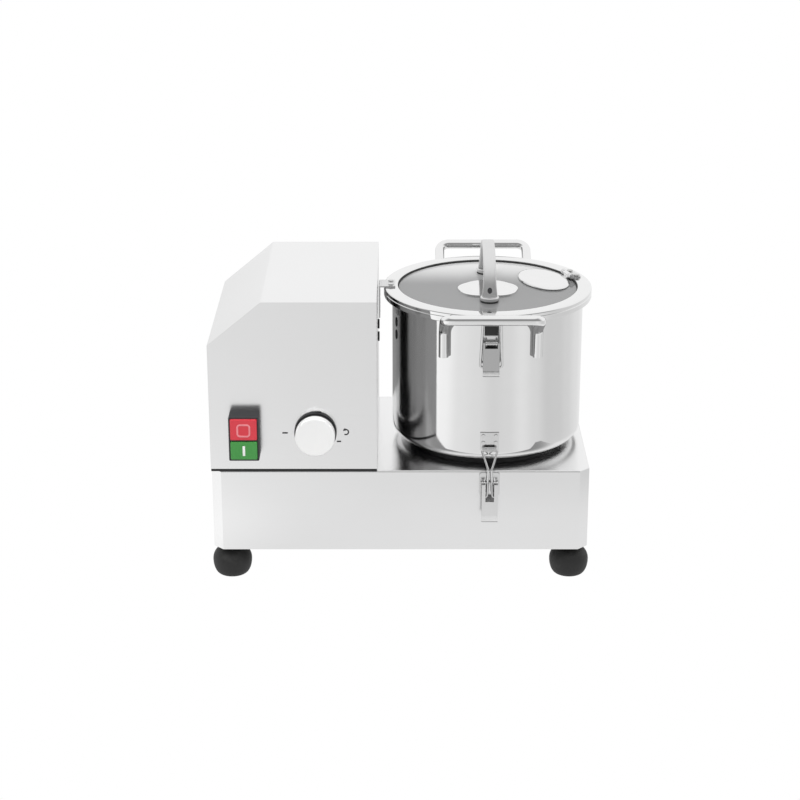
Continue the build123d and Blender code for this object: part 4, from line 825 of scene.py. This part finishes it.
knob = {
    "radius": 21.8, "backBevel": 0.6, "round": 1.0, "shoulder": 0.4, "dish": 0.3, "dishRadius": 6.0,
    "landWidth": 2.0, "landDrop": 0.1, "roundSteps": 10, "steps": 96,
}
capLow, capHigh = nodeBox("knob_cap")
knobCentre = middle("knob_cap")


def makeKnob():
    # a drum with a rounded front and a slightly dished face
    depth = capHigh[1] - capLow[1]
    r, e, bevel, floor = knob["radius"], knob["round"], knob["backBevel"], depth - knob["dish"]
    profile = np.concatenate([
        [(0, 0), (r - bevel, 0), (r, bevel), (r, depth - e - knob["shoulder"])],
        arc((r - e, depth - e), e, 0, 90, knob["roundSteps"]),
        [(r - e - knob["landWidth"], depth - knob["landDrop"]), (knob["dishRadius"], floor), (0, floor)]])
    return [lathe(profile, (knobCentre[0], capHigh[1], knobCentre[2]), knob["steps"], "front")]


addPiece("timerKnob", makeKnob(), "white_plastic", "timer_knob", ("knob_cap",))

# ticks are (right, up, length) from the knob's centre
dial = {
    "thickness": 0.25, "tickWidth": 1.7, "tickRound": 0.12, "arrow": (33.2, 0.0), "arrowRadius": 3.0,
    "arrowWidth": 1.5, "arrowRound": 0.1, "arrowFrom": 160, "arrowTo": -120, "headPoints": 7,
    "headSpread": (0.1, 2.2), "ticks": [(-33.5, -1.0, 6.0), (3.3, 23.4, 6.4), (25.6, -11.0, 4.8)],
    "steps": 2, "arrowPoints": 29,
}
hoodLow, hoodHigh = nodeBox("motor_hood")


def makeDial():
    # generic marks round the knob: three short ticks and an open circular arrow with a head,
    # x = radius cos a, z = radius sin a
    d = dial
    face = hoodLow[1]
    x, z = knobCentre[0], knobCentre[2]
    half = d["tickWidth"] / 2
    grids = []
    for right, up, length in d["ticks"]:
        grids.append(softBlock(
            (x + right - length / 2, face - d["thickness"], z + up - half),
            (x + right + length / 2, face, z + up + half), d["tickRound"], d["steps"]))
    angle = np.radians(np.linspace(d["arrowFrom"], d["arrowTo"], d["arrowPoints"]))
    path = np.stack([
        x + d["arrow"][0] + d["arrowRadius"] * np.cos(angle), np.full_like(angle, face - d["thickness"] / 2),
        z + d["arrow"][1] + d["arrowRadius"] * np.sin(angle)], -1)
    spread = np.ones_like(angle)
    spread[:d["headPoints"]] = np.linspace(*d["headSpread"], d["headPoints"])
    scale = np.stack([spread, np.ones_like(angle)], -1)
    section = roundedRectangle(d["arrowWidth"], d["thickness"], d["arrowRound"], d["steps"])
    grids.append(carry(path, section, (0, 1, 0), scale))
    return grids


addPiece("dialMarks", makeDial(), "dark_plastic", "root")

seamGapShade = {"low": 132.6, "high": 135.4, "proud": 0.3, "inset": 0.4, "depth": 2.0, "round": 0.3, "steps": 3}


def makeSeamGapShade():
    # a black strip between the hood and the base, along the front and the back: painted shade standing for the
    # shadow in the gap between them
    grids = []
    for side in (-1, 1):
        outside = side * (hoodHigh[1] + seamGapShade["proud"])
        inside = outside - side * seamGapShade["depth"]
        low = (hoodLow[0] + seamGapShade["inset"], min(inside, outside), seamGapShade["low"])
        high = (hoodHigh[0] - seamGapShade["inset"], max(inside, outside), seamGapShade["high"])
        grids.append(softBlock(low, high, seamGapShade["round"], seamGapShade["steps"]))
    return grids


addPiece("seamGapShade", makeSeamGapShade(), "black_rubber", "root")

marks = {
    "height": 0.3, "round": 0.25, "ringHalf": 7.6, "ringCorner": 3.0, "ringStroke": 2.0, "ringDrop": 0.8,
    "barWidth": 2.8, "barLength": 11.5, "cornerSteps": 6, "roundSteps": 3,
}


def makeRingMark():
    # a rounded-square ring raised from the stop button's face
    face = nodeBox("stop_button")[0][1]
    centre = middle("stop_button")
    side = 2 * marks["ringHalf"] - marks["ringStroke"]
    loop = roundedRectangle(side, side, marks["ringCorner"], marks["cornerSteps"])
    path = np.stack([
        centre[0] + loop[:, 0], np.full(len(loop), face), centre[2] - marks["ringDrop"] + loop[:, 1]], -1)
    section = roundedRectangle(marks["ringStroke"], 2 * marks["height"], marks["round"], marks["roundSteps"])
    return [carry(path, section, (0, 1, 0))]


def makeBarMark():
    # an upright bar raised from the start button's face
    face = nodeBox("start_button")[0][1]
    centre = middle("start_button")
    half = np.array([marks["barWidth"] / 2, marks["height"], marks["barLength"] / 2])
    spot = np.array([centre[0], face, centre[2]])
    return [softBlock(spot - half, spot + half, marks["round"], marks["roundSteps"])]


addPiece("stopMark", makeRingMark(), "red_plastic", "stop_button", finish="mark_pink")
addPiece("startMark", makeBarMark(), "white_plastic", "start_button", finish="mark_white")
print("controls made")


# Floor, light and camera

# bands are (bearing in degrees, level in reflections); bearing 0 is straight in front of the bowl
studio = {
    "floorSize": 30.0, "floorDepth": 2.0, "floorSteps": 64, "floorColour": 0.42, "floorLevel": 0.83,
    "deepLevel": 0.30, "deepBounce": (1.2, 1.8), "worldDiffuse": 0.62, "backLevel": 0.97, "frontLevel": 0.30,
    "backTurn": (-0.45, 0.25), "roofLevel": 0.97, "roofTurn": (0.55, 0.85), "bandsRange": (0.30, 0.46),
    "bands": (
        (-135, 0.80), (-100, 0.86), (-70, 1.10), (-50, 1.0), (-32, 0.85), (-12, 0.80), (6, 0.73), (22, 0.76),
        (38, 0.84), (54, 0.76), (72, 0.66), (90, 0.67), (105, 0.72), (128, 0.80), (150, 0.85)),
}


def rays(t, kind):
    # 1 for the camera's rays, or for those of reflections or of clear surfaces
    return t.node("ShaderNodeLightPath", {}, {}, out=f"Is {kind} Ray")


def makeFloor():
    # a flat disc: cloth to the lamps and pure white to the camera; in reflections its level changes with
    # the direction from the bowl, in the broad soft bands that show on the bowl's wall
    size = studio["floorSize"] / mm
    depth = studio["floorDepth"]
    points = lathe([(0, -depth), (size, -depth), (size, 0), (0, 0)], (0, 0, 0), studio["floorSteps"])
    mesh = gridMesh("sweep", points, capped=False)
    floor = bpy.data.objects.new("sweep", mesh)
    bpy.context.scene.collection.objects.link(floor)
    material = bpy.data.materials.new("sweepWhite")
    material.use_nodes = True
    tree = material.node_tree
    tree.nodes.remove(tree.nodes["Principled BSDF"])
    t = Term(tree)
    gloss = rays(t, "Glossy")
    deep = t.node("ShaderNodeLightPath", {}, {}, out="Glossy Depth").smooth(*studio["deepBounce"])
    place = t.place()
    east = place.coordinate("X") - bowlX * mm
    north = place.coordinate("Y")
    bearing = t.maths("ARCTAN2", east, 0 - north) * (180 / math.pi)
    far = t.maths("SQRT", east * east + north * north).smooth(*studio["bandsRange"])
    banded = studio["bands"][0][1]
    for (start, level), (end, nextLevel) in zip(studio["bands"], studio["bands"][1:]):
        banded = banded + bearing.smooth(start, end) * (nextLevel - level)
    mirrored = studio["floorLevel"] + (banded - studio["floorLevel"]) * far
    mirrored = mirrored * (1 - deep) + deep * studio["deepLevel"]
    white = t.maths("MINIMUM", rays(t, "Camera") + rays(t, "Transmission"), 1.0)
    shows = t.maths("MINIMUM", white + gloss, 1.0)
    level = studio["floorColour"]
    cloth = t.node("ShaderNodeBsdfDiffuse", {}, {"Color": (level, level, level, 1.0)})
    glow = t.node("ShaderNodeEmission", {}, {"Strength": white + (1 - white) * mirrored})
    both = t.node("ShaderNodeMixShader", {}, {0: shows, 1: cloth, 2: glow})
    tree.links.new(both.socket, tree.nodes["Material Output"].inputs["Surface"])
    mesh.materials.append(material)


def makeWorld():
    # white to the camera; reflections see a pale back and roof and a dark room in front
    world = bpy.data.worlds.new("room")
    bpy.context.scene.world = world
    world.use_nodes = True
    tree = world.node_tree
    t = Term(tree)
    direction = t.node("ShaderNodeTexCoord", {}, {}, out="Generated")
    turned = direction.coordinate("Y").smooth(*studio["backTurn"])
    back = turned * (studio["backLevel"] - studio["frontLevel"]) + studio["frontLevel"]
    roof = direction.coordinate("Z").smooth(*studio["roofTurn"]) * studio["roofLevel"]
    mirrored = t.maths("MAXIMUM", back, roof)
    gloss = rays(t, "Glossy")
    white = t.maths("MINIMUM", rays(t, "Camera") + rays(t, "Transmission"), 1.0)
    level = white + (1 - white) * (gloss * mirrored + (1 - gloss) * studio["worldDiffuse"])
    ground = tree.nodes["Background"]
    ground.inputs["Color"].default_value = (1, 1, 1, 1)
    tree.links.new(level.socket, ground.inputs["Strength"])


lamps = (
    {"name": "overhead", "place": (0.0, -0.3, 1.8), "aim": (0.0, 0.0, 0.2), "size": 1.6, "power": 22.0},
    {"name": "left", "place": (-1.7, -1.2, 1.1), "aim": (0.0, 0.0, 0.2), "size": 1.2, "power": 14.0},
    {"name": "right", "place": (1.6, -1.0, 1.3), "aim": (0.0, 0.0, 0.2), "size": 1.2, "power": 9.0},
)


def makeLamps():
    # soft squares turned towards their aim; they don't show in reflections
    for lamp in lamps:
        light = bpy.data.lights.new(lamp["name"], "AREA")
        light.shape = "SQUARE"
        light.size = lamp["size"]
        light.energy = lamp["power"]
        holder = bpy.data.objects.new(lamp["name"], light)
        place = np.array(lamp["place"])
        aim = np.array(lamp["aim"]) - place
        holder.location = place
        holder.rotation_euler = (
            math.atan2(math.hypot(aim[0], aim[1]), -aim[2]), 0.0, math.atan2(aim[1], aim[0]) - math.pi / 2)
        holder.visible_glossy = False
        bpy.context.scene.collection.objects.link(holder)


view = {"place": (-0.0022, -2.1729, 0.9678), "pitch": 69.89, "lens": 90.0, "sensor": 36.0}


def makeCamera():
    data = bpy.data.cameras.new("front")
    data.lens = view["lens"]
    data.sensor_width = view["sensor"]
    camera = bpy.data.objects.new("front", data)
    camera.location = view["place"]
    camera.rotation_euler = (math.radians(view["pitch"]), 0.0, 0.0)
    bpy.context.scene.collection.objects.link(camera)
    bpy.context.scene.camera = camera


makeFloor()
makeWorld()
makeLamps()
makeCamera()
bpy.context.scene.view_settings.view_transform = "Standard"
print("studio made")
